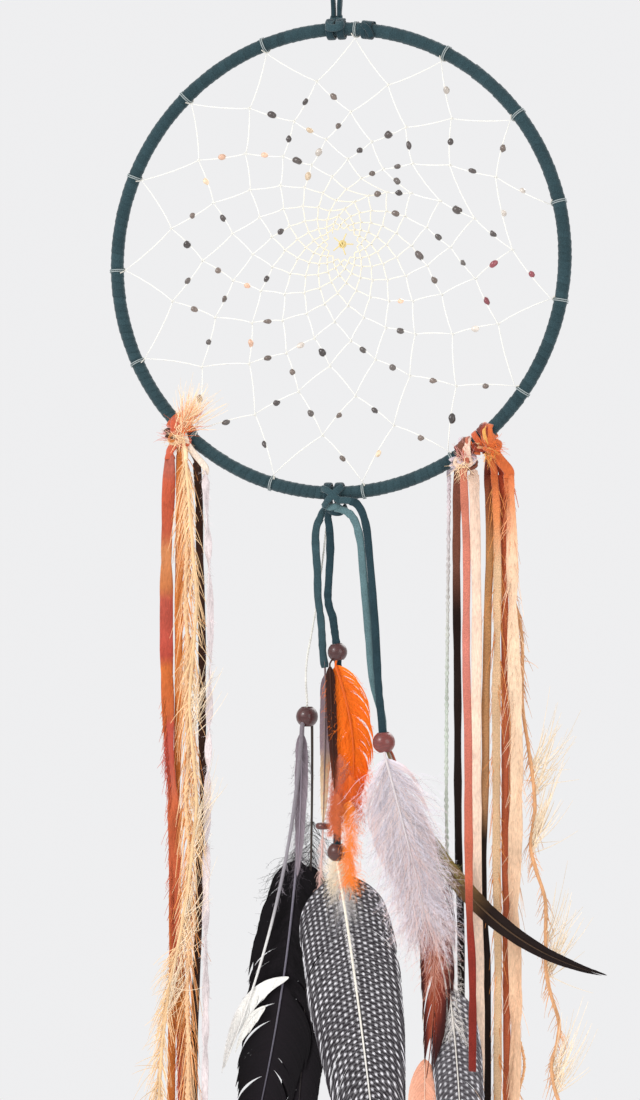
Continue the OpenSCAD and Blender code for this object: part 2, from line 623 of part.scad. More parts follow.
hanger_lace();
hanger_knot();
hoop_ring();
hoop_wrap();
wrap_end();
hoop_hitches();
web_thread();
web_centre_knot();
web_beads_dark();
web_beads_large();
web_beads_garnet();
web_beads_pale();
centre_knot();
left_knot();
left_tuft();
right_knot_inner();
right_knot_outer();
left_thread();
left_bead();
grey_down_feather();
black_feather_left();
black_feather_right();
white_feather();
middle_lace_left();
middle_lace_right();
middle_lace_lower();
middle_bead();
lower_bead();
flat_bead();
orange_feather();
dark_feather();
mauve_feather();
cream_feather();
guinea_feather_large();
right_lace_outer();
right_lace_inner();
right_bead();
fluffy_feather();
rust_feather();
curved_feather();
guinea_feather_small();
peach_feather();
coral_ribbon();
gold_lace();
cream_yarn();
dark_lace();
pale_ribbon();
eyelash_yarn_left();
grey_green_cord();
black_lace();
rust_lace_front();
cream_ribbon();
brown_lace();
taupe_lace();
rust_lace_outer();
peach_ribbon();
eyelash_yarn_right();
curly_cord();
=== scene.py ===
import math

import bpy
import numpy as np
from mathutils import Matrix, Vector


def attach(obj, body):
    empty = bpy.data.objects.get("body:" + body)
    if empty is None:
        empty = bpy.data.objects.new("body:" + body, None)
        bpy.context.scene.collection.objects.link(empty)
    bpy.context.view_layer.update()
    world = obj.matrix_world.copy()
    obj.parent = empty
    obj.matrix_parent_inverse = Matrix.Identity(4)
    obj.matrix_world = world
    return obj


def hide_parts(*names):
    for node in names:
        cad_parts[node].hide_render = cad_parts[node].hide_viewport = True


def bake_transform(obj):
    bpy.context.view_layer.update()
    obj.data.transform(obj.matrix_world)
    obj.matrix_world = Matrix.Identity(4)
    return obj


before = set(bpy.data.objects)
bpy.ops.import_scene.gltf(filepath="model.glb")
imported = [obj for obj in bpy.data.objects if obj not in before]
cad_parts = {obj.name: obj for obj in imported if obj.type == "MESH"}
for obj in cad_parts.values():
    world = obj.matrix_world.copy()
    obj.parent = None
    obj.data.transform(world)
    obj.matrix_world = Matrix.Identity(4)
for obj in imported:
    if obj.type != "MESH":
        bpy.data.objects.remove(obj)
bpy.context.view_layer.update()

# ------------------------------------------------------------------------------
# Camera, floor and lights.
# A long lens at the height of the hanging pieces, turned a little to the right of straight on.
# Plain pale floor under the streamers, one large soft light on the left, weaker ones right and behind.
CAMERA_TURN = math.radians(15.6)
CAMERA_DISTANCE = 1.153
CAMERA_AIM = (-0.00603, -0.00168, -0.2490)
FLOOR_Z = -0.60
FLOOR_SIZE = 1.2
PALE = (0.86, 0.86, 0.87, 1)

camera = bpy.data.objects.new("camera", bpy.data.cameras.new("camera"))
bpy.context.collection.objects.link(camera)
camera.data.lens = 100
camera.data.sensor_width = 36
camera.location = (CAMERA_AIM[0] + CAMERA_DISTANCE * math.sin(CAMERA_TURN),
                   CAMERA_AIM[1] - CAMERA_DISTANCE * math.cos(CAMERA_TURN), CAMERA_AIM[2])
camera.rotation_euler = (math.pi / 2, 0, CAMERA_TURN)
bpy.context.scene.camera = camera
bpy.context.scene.view_settings.view_transform = "Standard"

bpy.ops.mesh.primitive_plane_add(size=FLOOR_SIZE, location=(0, 0, FLOOR_Z))
floor = bpy.context.object
floor.name = "floor"
floor_look = bpy.data.materials.new("floor")
floor_look.use_nodes = True
floor_look.node_tree.nodes["Principled BSDF"].inputs["Base Color"].default_value = PALE
floor_look.node_tree.nodes["Principled BSDF"].inputs["Roughness"].default_value = 0.9
floor.data.materials.append(floor_look)

world = bpy.data.worlds.new("studio")
world.use_nodes = True
world.node_tree.nodes["Background"].inputs["Color"].default_value = PALE
world.node_tree.nodes["Background"].inputs["Strength"].default_value = 1.0
bpy.context.scene.world = world


def soft_light(name, place, aim, size, power):
    lamp = bpy.data.lights.new(name, "AREA")
    lamp.size = size
    lamp.energy = power
    lamp_object = bpy.data.objects.new(name, lamp)
    bpy.context.collection.objects.link(lamp_object)
    lamp_object.location = place
    away = Vector(aim) - Vector(place)
    lamp_object.rotation_euler = away.to_track_quat("-Z", "Y").to_euler()


soft_light("key_light", (-0.9, -1.2, 0.5), (0, 0, -0.25), 0.7, 16)
soft_light("fill_light", (1.1, -0.9, -0.1), (0, 0, -0.25), 0.9, 5)
soft_light("back_light", (0.3, 1.0, 0.5), (0, 0, -0.25), 0.9, 7)


# ------------------------------------------------------------------------------
# Suede laces of the hanging loop and the three drops.
# Suede cut 3 mm wide and a little over 1 mm thick, with a soft nap and slightly uneven edges.
# Each runs out of a knot; the drops' laces end inside their wooden beads.
def colour(red, green, blue):
    """A screen colour as the shader wants it."""
    return np.array([(c / 255 / 12.92 if c <= 10 else ((c / 255 + 0.055) / 1.055) ** 2.4)
                     for c in (red, green, blue)])


def unit(v):
    return v / np.linalg.norm(v, axis=-1, keepdims=True)


def smooth(points, per):
    """A curve through the points, with per samples to each span."""
    p = np.array(points, float)
    p = np.vstack([2 * p[0] - p[1], p, 2 * p[-1] - p[-2]])
    u = np.arange(per)[:, None] / per
    spans = [0.5 * (2 * p[i] + (p[i + 1] - p[i - 1]) * u
                    + (2 * p[i - 1] - 5 * p[i] + 4 * p[i + 1] - p[i + 2]) * u ** 2
                    + (3 * p[i] - p[i - 1] - 3 * p[i + 1] + p[i + 2]) * u ** 3)
             for i in range(1, len(p) - 2)]
    return np.vstack(spans + [p[-2:-1]])


def wander(count, step, size, rng):
    """A smooth random line: one random value each step samples, blended between."""
    knots = rng.normal(0, size, count // step + 3)
    return np.interp(np.arange(count), np.arange(len(knots)) * step, knots)


class Shape:
    """Gathers points, faces and a colour at each point, then makes one mesh object of them."""

    def __init__(self):
        self.points, self.tints, self.faces, self.count = [], [], [], 0

    def add(self, points, faces, tint):
        points = np.asarray(points, float).reshape(-1, 3)
        self.points.append(points)
        self.tints.append(np.broadcast_to(np.asarray(tint, float).reshape(-1, 3), points.shape))
        start = self.count
        self.faces += [[start + i for i in face] for face in faces]
        self.count += len(points)

    def sweep(self, path, wide, thick, tint, flat=(1, 0, 0), twist=0.0, sides=10, square=0.6):
        """A rounded strip or a round cord along the path; its width lies along flat, turned by twist."""
        a = np.arange(sides) * 2 * math.pi / sides
        ring = np.stack([np.sign(np.cos(a)) * np.abs(np.cos(a)) ** square,
                         np.sign(np.sin(a)) * np.abs(np.sin(a)) ** square], 1) / 2
        along = unit(np.gradient(path, axis=0))
        front = unit(np.cross(along, np.broadcast_to(flat, along.shape)))
        side = np.cross(front, along)
        turn = np.broadcast_to(twist, len(path))[:, None]
        side, front = (side * np.cos(turn) + front * np.sin(turn),
                       front * np.cos(turn) - side * np.sin(turn))
        wide = np.broadcast_to(wide, len(path))[:, None, None]
        thick = np.broadcast_to(thick, len(path))[:, None, None]
        rings = (path[:, None] + side[:, None] * ring[None, :, :1] * wide
                 + front[:, None] * ring[None, :, 1:] * thick)
        n = len(path)
        faces = [[i * sides + k, i * sides + (k + 1) % sides, (i + 1) * sides + (k + 1) % sides,
                  (i + 1) * sides + k] for i in range(n - 1) for k in range(sides)]
        faces += [list(range(sides))[::-1], list(range((n - 1) * sides, n * sides))]
        tint = np.asarray(tint, float)
        self.add(rings, faces, np.repeat(tint, sides, 0) if tint.ndim == 2 else tint)

    def blades(self, paths, widths, tints, facing=None):
        """Many thin flat blades at once: paths is [blade, sample, xyz]."""
        along = unit(np.gradient(paths, axis=1))
        facing = np.array((0.0, 1, 0)) if facing is None else facing
        side = unit(np.cross(along, np.broadcast_to(facing, along.shape))) * widths[..., None] / 2
        points = np.stack([paths - side, paths + side], 2)
        blades, samples = paths.shape[:2]
        first = np.arange(blades * samples).reshape(blades, samples)[:, :-1].ravel() * 2
        faces = np.stack([first, first + 1, first + 3, first + 2], 1).tolist()
        tints = np.broadcast_to(tints, paths.shape)
        self.add(points, faces, np.repeat(tints[:, :, None], 2, 2))

    def make(self, name, look, slot, body=None, covers=None):
        """One mesh object of all that was added; it rides on body and takes the place of covers."""
        mesh = bpy.data.meshes.new(name)
        points = np.vstack(self.points)
        mesh.from_pydata(points.tolist(), [], self.faces)
        tint = mesh.color_attributes.new("tint", "FLOAT_COLOR", "POINT")
        rgba = np.ones((len(points), 4))
        rgba[:, :3] = np.vstack(self.tints)
        tint.data.foreach_set("color", rgba.ravel())
        mesh.polygons.foreach_set("use_smooth", [True] * len(mesh.polygons))
        mesh.materials.append(look)
        made = bpy.data.objects.new(name, mesh)
        bpy.context.collection.objects.link(made)
        if body:
            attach(made, body)
        if covers:
            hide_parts(covers)
        return made


GRAIN_HEIGHT = 0.0004


def material(name, rough, grain, bump, vary, stretch=(1, 1, 1), sheen=0.0, coat=0.0, metal=0.0):
    """A finish that takes the piece's own tint, varied and raised by a fine grain."""
    look = bpy.data.materials.new(name)
    look.use_nodes = True
    nodes, links = look.node_tree.nodes, look.node_tree.links
    shader = nodes["Principled BSDF"]
    place = nodes.new("ShaderNodeTexCoord")
    scale = nodes.new("ShaderNodeMapping")
    noise = nodes.new("ShaderNodeTexNoise")
    swing = nodes.new("ShaderNodeMapRange")
    tint = nodes.new("ShaderNodeAttribute")
    tint.attribute_name = "tint"
    mix = nodes.new("ShaderNodeVectorMath")
    mix.operation = "SCALE"
    raised = nodes.new("ShaderNodeBump")
    for node, settings in (
            (shader, {"Roughness": rough, "Metallic": metal, "Sheen Weight": sheen, "Sheen Roughness": 0.4,
                      "Specular IOR Level": 0.5 if coat or metal else 0.12, "Coat Weight": coat,
                      "Coat Roughness": 0.12}),
            (scale, {"Scale": stretch}),
            (noise, {"Scale": grain, "Detail": 5, "Roughness": 0.65}),
            (swing, {"From Min": 0.3, "From Max": 0.7, "To Min": 1 - vary, "To Max": 1 + vary}),
            (raised, {"Strength": bump, "Distance": GRAIN_HEIGHT})):
        for socket, value in settings.items():
            node.inputs[socket].default_value = value
    links.new(place.outputs["Object"], scale.inputs["Vector"])
    links.new(scale.outputs["Vector"], noise.inputs["Vector"])
    links.new(noise.outputs["Fac"], swing.inputs["Value"])
    links.new(noise.outputs["Fac"], raised.inputs["Height"])
    links.new(tint.outputs["Color"], mix.inputs[0])
    links.new(swing.outputs["Result"], mix.inputs["Scale"])
    links.new(mix.outputs["Vector"], shader.inputs["Base Color"])
    links.new(raised.outputs["Normal"], shader.inputs["Normal"])
    return look


MM = 0.001
HOOP_R = 0.0875
HOOP_MIDDLE = np.array((0, 0, -0.140))
BOTTOM = HOOP_MIDDLE - (0, 0, HOOP_R)
suede = material("suede", 0.95, 2600, 0.5, 0.35, sheen=0.35)
TEAL = colour(52, 74, 80)
DARK_TEAL = colour(36, 56, 63)
LIGHT_TEAL = colour(88, 114, 118)


def hanging(start, depth, across, heights):
    """A strand's points: where it leaves its knot, then its place across at each height."""
    return [start] + list(zip(across, np.broadcast_to(depth, len(across)), heights))


PLY_AWAY, PLY_WIDE = 0.23, 0.56


def lace(name, at, points, wide, thick, tint, look, slot, body, seed, lay="hanging", far="bare",
         flat=(1, 0, 0), joins=None, round_cord=False, per=8, twist=0.10, fuzz=None, ply=None):
    """One strand with its own uneven edges; it is set on its body, or baked in place when it has joins."""
    rng = np.random.default_rng(seed)
    centre = np.array(points, float) * MM + at
    path = smooth(centre, per)
    n = len(path)
    shape = Shape()
    shades = tint(path[:, 2]) if callable(tint) else np.broadcast_to(tint, (n, 3))
    shades = shades * (1 + wander(n, 3, 0.06, rng))[:, None]
    width = wide * MM * (1 + wander(n, 4, 0.05, rng))
    if ply:
        turn = np.cumsum(np.r_[0, np.linalg.norm(np.diff(path, axis=0), axis=1)]) / (ply * MM) * math.tau
        along = unit(np.gradient(path, axis=0))
        front = unit(np.cross(along, flat))
        side = np.cross(front, along)
        for phase in (0, math.pi):
            c, s = np.cos(turn + phase)[:, None], np.sin(turn + phase)[:, None]
            shape.sweep(path + (side * c + front * s) * wide * MM * PLY_AWAY, width * PLY_WIDE,
                        width * PLY_WIDE, shades, flat, 0.0, 8, 1.0)
    else:
        shape.sweep(path, width, thick * MM, shades, flat, wander(n, 6, twist, rng), 12,
                    1.0 if round_cord else 0.5)
    made = [shape.make(name + "_strand", look, slot)]
    if fuzz:
        fibres = Shape()
        fuzz(fibres, path, shades, rng)
        made.append(fibres.make(name + "_fibres", look, slot))
    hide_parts(name)
    for part in made:
        if joins:
            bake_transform(part)
        else:
            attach(part, body)


hanger_side = [
    (-1.1, 0, -48), (-1.2, 0, -44), (-1.6, 0, -38), (-2.2, 0, -31), (-2.8, 0, -24), (-3.3, 0, -17),
    (-3.6, 0, -10.5), (-3.6, 0, -5.5), (-3, 0, -2), (-1.7, 0, 0.1)
]
hanger_top = hanger_side + [(0, 0, 0.6)] + [(-x, y, z) for x, y, z in hanger_side[::-1]]
lace("hanger_lace", 0, hanger_top, 3, 1.6, DARK_TEAL, suede, "suede", "hanger", 1, lay="taut", far="object",
     flat=(0, 1, 0), twist=0.03)

SWAY = ("centre_knot", (0, 0, -0.2375), (0, 0, -0.2500))
thread_look = material("thread", 0.75, 3500, 0.3, 0.12, sheen=0.2)
left_thread = [
    (-4.5, 3.6, -9.4), (-5.2, 3.9, -14), (-6, 4.3, -20), (-7, 4.8, -27), (-8.2, 5.3, -34),
    (-9.3, 5.8, -41), (-10.6, 6.2, -48), (-12, 6.6, -55), (-13.3, 7, -61), (-14.1, 7.5, -67),
    (-14.3, 8, -72), (-14.2, 8.3, -76), (-14, 8.5, -79), (-14, 8.5, -82), (-14, 8.5, -85)
]
lace("left_thread", BOTTOM, left_thread, 1, 1, colour(226, 224, 216), thread_look, "thread", "left_drop", 2,
     far="object", joins=SWAY, ply=2.2)


def drop_lace(name, points, tint, body, seed, **more):
    """One of the drops' suede laces."""
    lace(name, BOTTOM, points, 3, 1.2, tint, suede, "suede", body, seed, far="object", **more)


middle_left = hanging(
    (-6.8, 1.3, -9.6), 1.3, (-8, -8.6, -8.6, -8.3, -7.9, -7.8, -7.7, -7.2, -6.6, -6.2, -6, -5.8, -5.4,
    -4.9), (-12, -15.5, -19, -24, -29, -34, -39, -43, -47, -51.5, -55.5, -59.5, -63, -66))
drop_lace("middle_lace_left", middle_left, TEAL, "middle_drop", 3, joins=SWAY)
middle_right = [
    (-3.4, -0.1, -9.6), (-2.8, -0.1, -13), (-2.5, -0.1, -18), (-2.5, -0.1, -24), (-2.8, -0.1, -29),
    (-3.1, -0.1, -34), (-3.4, -0.1, -38.5), (-3.1, 0, -42), (-2.4, 0, -44.5), (-1.6, 0, -46.5),
    (-1.26, 0, -48.5), (-0.98, 0, -50.5), (-0.7, 0, -52.5), (-0.35, 0, -55), (0, 0, -57.5),
    (0.35, 0, -60)
]
drop_lace("middle_lace_right", middle_right, DARK_TEAL, "middle_drop", 4, joins=SWAY)
middle_lower = [
    (0.4, 0, -60.6), (0.5, 0.2, -64.5), (0.6, 0.8, -69), (0.6, 1.2, -75), (0.6, 1.2, -82),
    (0.6, 1.2, -89), (0.6, 1.2, -96), (0.6, 1.2, -103), (0.5, 1.2, -109), (0.4, 1.1, -115),
    (0.3, 0.7, -120), (0.2, 0.2, -124), (0.2, 0, -127), (0.2, 0, -131), (0.2, 0, -135.5)
]
drop_lace("middle_lace_lower", middle_lower, DARK_TEAL, "middle_drop", 5, twist=0.04)
right_outer = [
    (6.6, -4.4, -3.2), (8.8, -4.4, -4), (10.7, -4.6, -6.4), (12, -4.8, -9.5), (13.1, -5, -14),
    (13.9, -5.4, -20), (14.9, -6, -29), (15.8, -6.6, -38), (16.7, -7.2, -47), (17.4, -7.8, -56),
    (18, -8.4, -65), (18.7, -9, -73), (19.2, -9.15, -78), (19.7, -9.15, -83.2), (20.15, -9.15, -88.2),
    (20.6, -9.15, -93.2)
]
drop_lace("right_lace_outer", right_outer, DARK_TEAL, "right_drop", 6,
          joins=("centre_knot", (0, 0, -0.2320), (0, 0, -0.2450)))
right_inner = [
    (5.6, -4.2, -7.4), (7.2, -4.2, -8.9), (8.7, -4.4, -11.5), (9.8, -4.6, -15), (10.8, -4.9, -20),
    (11.7, -5.3, -29), (12.6, -5.7, -38), (13.6, -6.2, -47), (14.5, -6.7, -56), (15.3, -7.1, -65),
    (16.4, -7.4, -72), (17.6, -7.6, -76), (18.9, -7.8, -79.8), (19.6, -7.85, -83),
    (20.15, -7.85, -88.2), (20.6, -7.85, -93.2)
]
drop_lace("right_lace_inner", right_inner, LIGHT_TEAL, "right_drop", 7,
          joins=("centre_knot", (0, 0, -0.2350), (0, 0, -0.2460)))


# ------------------------------------------------------------------------------
# Left bundle of streamers, tied to the hoop by the terracotta knot.
# A ribbon dyed from pink to orange, a gold and a dark suede lace, a cream yarn and a pale ribbon.
# The eyelash yarn is a thin core with long fibres that flare out near the bottom.
def blend_stops(at, stops):
    """The colour at each place, blended between stops of (place, red, green, blue)."""
    shades = np.array([colour(*stop[1:]) for stop in stops])
    return np.stack([np.interp(at, [stop[0] for stop in stops], shades[:, k]) for k in range(3)], -1)


def by_height(*stops):
    """A strand's colour down its length; each stop is millimetres below the nail and a colour."""
    return lambda z: blend_stops(-z / MM, [(-stop[0], *stop[1:]) for stop in stops])


def tube_frame(angle):
    """Middle of the hoop's tube at an angle, with its outward and along directions."""
    a = math.radians(angle)
    outward = np.array((math.cos(a), 0, math.sin(a)))
    return HOOP_MIDDLE + HOOP_R * outward, outward, np.array((-math.sin(a), 0, math.cos(a)))


def bundle(at, body, joins):
    """How every strand of a bundle is hung: from its seat on the hoop, baked in place with the bundle's
    joins.
    """
    def strand(name, points, wide, thick, tint, look, slot, seed, **more):
        lace(name, at, points, wide, thick, tint, look, slot, body, seed, joins=joins, **more)
    return strand


def fluffy_edges(count, length, spread, thin=0.12, droop=0.5, where=(0.0, 1.0), outward=None):
    """Fine fibres that stand out of a strand on both sides."""
    def grow(shape, path, shades, rng):
        at = rng.uniform(where[0], where[1], count) * (len(path) - 1)
        low = np.minimum(at.astype(int), len(path) - 2)
        root = path[low] + (path[low + 1] - path[low]) * (at - low)[:, None]
        side = rng.choice([-1.0, 1.0], count) if outward is None else np.full(count, outward)
        lengths = length * MM * rng.uniform(0.4, 1.0, count)
        u = np.linspace(0, 1, 6)[None, :, None]
        away = np.stack([side * rng.uniform(0.5, 1, count), rng.normal(0, spread, count),
                         rng.normal(-droop, 0.5, count)], 1)
        paths = root[:, None] + unit(away)[:, None] * u * lengths[:, None, None]
        paths[..., 2] -= (u[..., 0] ** 2) * lengths[:, None] * droop * rng.uniform(0, 1, (count, 1))
        widths = thin * MM * (1 - 0.7 * u[..., 0]) * np.ones((count, 1))
        shape.blades(paths, widths, shades[low][:, None] * rng.uniform(0.8, 1.25, (count, 1, 1)))
    return grow


def layers(*each):
    """Layers of fibres; each has its tint, a share of the strand's own or a colour, and its settings."""
    def grow(shape, path, shades, rng):
        for tint, *settings in each:
            own = shades * tint if np.isscalar(tint) else 0 * shades + tint
            fluffy_edges(*settings)(shape, path, own, rng)
    return grow


GOLDEN, WISP = colour(206, 134, 76), colour(226, 206, 178)
ribbon = material("ribbon", 0.7, 1800, 0.6, 0.22, stretch=(1, 1, 0.25), sheen=0.5)
dark_suede = material("dark_suede", 0.95, 2600, 0.5, 0.4, sheen=0.3)
LEFT_ANGLE = 225
LEFT_SEAT = tube_frame(LEFT_ANGLE)[0]
left = bundle(LEFT_SEAT, "left_streamers", ("hoop", (0, 0, -0.2100), (0, 0, -0.2450)))
LEFT_ROWS = (-28, -47, -66, -85, -104, -123, -142, -160, -179, -198, -217, -236, -255, -274, -292)
coral = hanging(
    (-2.8, -4.6, -11), -5.2, (-3.3, -4, -4, -4, -3.5, -2.8, -1.2, -0.6, -0.4, 0.4, 1.6, 2.7, 3.1, 3.2, 3,
    2.6), LEFT_ROWS + (-308,))
coral_shade = by_height(
    (-205, 176, 96, 78), (-219, 186, 98, 78), (-224, 206, 96, 66), (-243, 194, 88, 58),
    (-249, 212, 136, 84), (-264, 204, 122, 72), (-268, 198, 92, 74), (-290, 190, 78, 62),
    (-294, 218, 116, 56), (-312, 206, 104, 56), (-316, 190, 78, 62), (-330, 190, 82, 62),
    (-345, 206, 104, 64), (-408, 194, 88, 58), (-413, 218, 138, 66), (-430, 206, 124, 60),
    (-434, 188, 80, 56), (-520, 182, 76, 52))
CORAL_DEPTH = 0.78
left("coral_ribbon", coral, 5, 0.8, lambda z: CORAL_DEPTH * coral_shade(z), ribbon, "terracotta_yarn", 11,
     fuzz=layers((1, 2600, 2.6, 0.35), (1.05, 1500, 5.5, 0.3, 0.34, 1.6, (0.3, 0.99), -1.0)), twist=0.35)
gold = hanging(
    (0.8, -3.4, -11), -3.6, (0.8, 0.6, 0.4, 0.4, 0.4, 0, -0.8, -1.6, -2, -2, -2.2, -2.4, -2.6, -2.8, -3,
    -3.2, -3), LEFT_ROWS + (-310, -326))
left("gold_lace", gold, 3, 1.2, colour(196, 116, 58), suede, "cream_yarn", 12, twist=0.25)
cream = hanging(
    (3.7, -6, -11), -7.2, (4.1, 4.9, 4.3, 5.3, 4.6, 5.6, 4.6, 5.7, 4.9, 5.5, 4.9, 5.5, 5.2, 5.7, 5.1,
    5.5), LEFT_ROWS + (-303,))
left("cream_yarn", cream, 2.4, 2.4, colour(230, 186, 142), ribbon, "cream_yarn", 13, ply=5.5,
     fuzz=layers((1, 1500, 2.0, 0.5), (0.96, 330, 13, 0.25, 0.42, 1.9), (GOLDEN, 330, 12, 0.25, 0.40, 1.8)))
dark = hanging(
    (7.9, -4.4, -14), -4.6, (8.9, 9.1, 9.7, 10.1, 10.1, 10.2, 10.7, 9.3, 9, 8.3, 7.5, 6.9, 6.9, 7.1, 7.3,
    7.2, 7), LEFT_ROWS[:7] + (-158,) + LEFT_ROWS[8:] + (-310, -321))
left("dark_lace", dark, 3, 1.2, colour(58, 38, 30), dark_suede, "dark_suede", 14, twist=0.3)
pale = hanging(
    (11.7, -6.1, -17), -6.6, (12.4, 13.2, 14, 14, 13.7, 13.2, 12.8, 12.5, 12.2, 12.1, 12.2, 12, 11.8,
    11.6, 11.6, 11.8), LEFT_ROWS + (-299,))
left("pale_ribbon", pale, 3, 0.6, colour(216, 204, 204), ribbon, "cream_yarn", 15,
     fuzz=layers((1, 900, 3.2, 0.4)), twist=1.3)
eyelash_left = [(4.7, -8.3, -12)] + hanging(
    (6.3, -9, -28), -9.4, (7.9, 9.4, 8.2, 6.7, 7.9, 9.4, 7.9, 5.5, 2, -1.9, -4.3, -5.5, -6.2, -6.6, -6.2),
    LEFT_ROWS[1:] + (-310,))
left_wisps = [(WISP, 34, 17, 0.3, 0.30, -1.0, place, 1.0)
              for place in ((0.31, 0.36), (0.45, 0.52), (0.58, 0.64), (0.66, 0.72))]
left("eyelash_yarn_left", eyelash_left, 1.2, 1.2, colour(226, 190, 146), ribbon, "cream_yarn", 16,
     round_cord=True, fuzz=layers((1, 520, 9, 0.3, 0.36, 1.5),
                                  (1, 240, 12, 0.4, 0.30, 0.9, (0.62, 0.98), -1.0), *left_wisps))

# ------------------------------------------------------------------------------
# Right bundle of streamers, tied to the hoop by two knots.
# Ten strands side by side: suede laces in black, rust, brown and taupe, soft ribbons in cream and peach,
# a thin grey-green cord, a curly cord, and an eyelash yarn that hangs free on the right.
RIGHT_SEAT = tube_frame(308)[0]
right = bundle(RIGHT_SEAT, "right_streamers", ("hoop", (0, 0, -0.2180), (0, 0, -0.2450)))
RIGHT_ROWS = (-22, -41, -60, -79, -98, -117, -136, -155, -174, -193, -212, -231, -250, -269, -287)
grey_green = hanging(
    (-10.9, 2.4, -12), 2.4, (-11, -11.2, -11.4, -11.6, -11.8, -11.9, -11.9, -11.6, -11.3, -11.1, -11.2,
    -11.4, -11.5, -11.4), RIGHT_ROWS[:13] + (-262,))
grey_green_shade = by_height((-215, 206, 190, 196), (-300, 186, 194, 182), (-480, 170, 182, 168))
right("grey_green_cord", grey_green, 1.8, 1.8, grey_green_shade, ribbon, "cream_yarn", 21, ply=4)
black_shade = by_height((-220, 120, 70, 54), (-248, 112, 68, 52), (-272, 30, 18, 14), (-520, 16, 12, 12))
black = hanging(
    (-7.6, 2.6, -12), 2.6, (-7.9, -8.1, -8, -7.8, -7.6, -7.6, -7.5, -7.2, -6.6, -6.3, -6.3, -6.2, -6.1,
    -6.3, -6.5, -6.4), RIGHT_ROWS + (-302,))
right("black_lace", black, 3, 1.2, black_shade, dark_suede, "dark_suede", 22, twist=0.3)
rust_front = [
    (-3.7, -4.6, -12), (-3.2, -5.2, -22), (-2.3, -6.2, -36), (-1.9, -7.3, -50), (-1.8, -8.4, -64),
    (-1.6, -9.5, -78), (-1.1, -10.6, -92), (-0.4, -11.8, -106), (0, -13, -120), (0.2, -13.8, -134),
    (0.4, -14.2, -148), (0.5, -14.2, -162), (0.8, -14.2, -176), (1.6, -14.2, -190), (1.9, -14.1, -204),
    (1.8, -13.9, -218), (1.7, -13.7, -232)
]
rust_shade = by_height(
    (-215, 190, 112, 88), (-290, 196, 118, 104), (-370, 178, 88, 64), (-390, 128, 44, 34),
    (-460, 112, 36, 30))
right("rust_lace_front", rust_front, 3, 1.2, rust_shade, suede, "terracotta_yarn", 23, twist=0.2)
cream_wide = hanging(
    (-1.3, 1.6, -12), 1.6, (-0.9, -0.5, -0.1, -0.1, -0.3, -0.3, -0.3, -0.2, 0.1, 0.7, 0.9, 0.9, 0.8, 0.9,
    1, 0.9, 0.9), RIGHT_ROWS + (-305, -315))
right("cream_ribbon", cream_wide, 4, 0.8, colour(234, 206, 184), ribbon, "cream_yarn", 24,
      fuzz=layers((1, 1600, 2.2, 0.25)), twist=0.25)
brown = hanging(
    (3.7, 3.4, -12), 3.4, (4.3, 4.5, 3.8, 3.4, 2.9, 2.9, 2.5, 1.8, 2.1, 3.3, 3.5, 3.5, 3.5, 3.4, 3.3, 3.4,
    3.5), RIGHT_ROWS + (-305, -322))
brown_shade = by_height(
    (-220, 110, 46, 32), (-236, 150, 92, 58), (-250, 176, 128, 82), (-344, 160, 118, 82),
    (-356, 34, 24, 20), (-540, 26, 18, 16))
right("brown_lace", brown, 3, 1.2, brown_shade, dark_suede, "dark_suede", 25, twist=0.25)
taupe_shade = by_height(
    (-220, 196, 98, 52), (-238, 206, 128, 78), (-256, 212, 176, 138), (-520, 200, 166, 130))
taupe = hanging(
    (6.5, 1.8, -12), 1.8, (7.3, 7.7, 7.7, 7.6, 7.3, 7.3, 7.3, 7.4, 7.7, 8, 7.9, 7.8, 7.7, 7.7, 7.9, 7.8),
    RIGHT_ROWS + (-296,))
right("taupe_lace", taupe, 3, 1.2, taupe_shade, suede, "taupe_suede", 26, twist=0.5,
      fuzz=layers((GOLDEN, 260, 9, 0.25, 0.34, 1.9)))
rust_outer_shade = by_height(
    (-220, 142, 54, 32), (-240, 160, 76, 46), (-262, 172, 88, 56), (-520, 164, 84, 54))
rust_outer = hanging(
    (9, 3.2, -12), 3.2, (9.6, 9.8, 10, 10.4, 10.4, 10.4, 10.4, 10.6, 10.8, 11, 11, 11, 10.9, 10.8, 10.9,
    11, 11), RIGHT_ROWS + (-305, -311))
right("rust_lace_outer", rust_outer, 3, 1.2, rust_outer_shade, suede, "terracotta_yarn", 27, twist=0.3,
      fuzz=layers((1, 1400, 1.6, 0.4)))
peach = hanging(
    (12, 1.5, -12), 1.5, (12.8, 13.4, 13.6, 14, 14.8, 15.2, 14.9, 14.4, 14, 14.4, 14.8, 14.6, 14.2, 14,
    14.3, 14.5), RIGHT_ROWS + (-300,))
peach_shade = by_height(
    (-219, 206, 104, 56), (-232, 224, 146, 98), (-252, 232, 196, 164), (-300, 230, 200, 170),
    (-420, 222, 180, 146), (-520, 226, 186, 152))
right("peach_ribbon", peach, 5, 0.6, peach_shade, ribbon, "cream_yarn", 28,
      fuzz=layers((1, 2200, 2.4, 0.4), (0.93, 260, 9, 0.3, 0.32, 1.6)), twist=0.5)
eyelash_right = hanging(
    (9.9, 4.9, -12), 4.9, (10.7, 11.5, 12.7, 15, 16.5, 16.6, 18.6, 20.5, 21.3, 19.7, 21.7, 25.2, 25.4,
    25.6, 27.6, 30.5, 29.3, 27.6, 29, 31.5, 33, 30.7, 29, 31, 32.6, 30.7), (-22, -41, -55, -65, -75, -97,
    -112, -125, -137, -150, -159, -170, -183, -197, -206, -216, -225, -232, -241, -248, -257, -267, -276,
    -286, -295, -304))
right_wisps = [(WISP, 46, 20, 0.35, 0.34, -1.0, place, 1.0)
               for place in ((0.29, 0.33), (0.36, 0.40), (0.50, 0.55), (0.69, 0.74), (0.86, 0.90))]
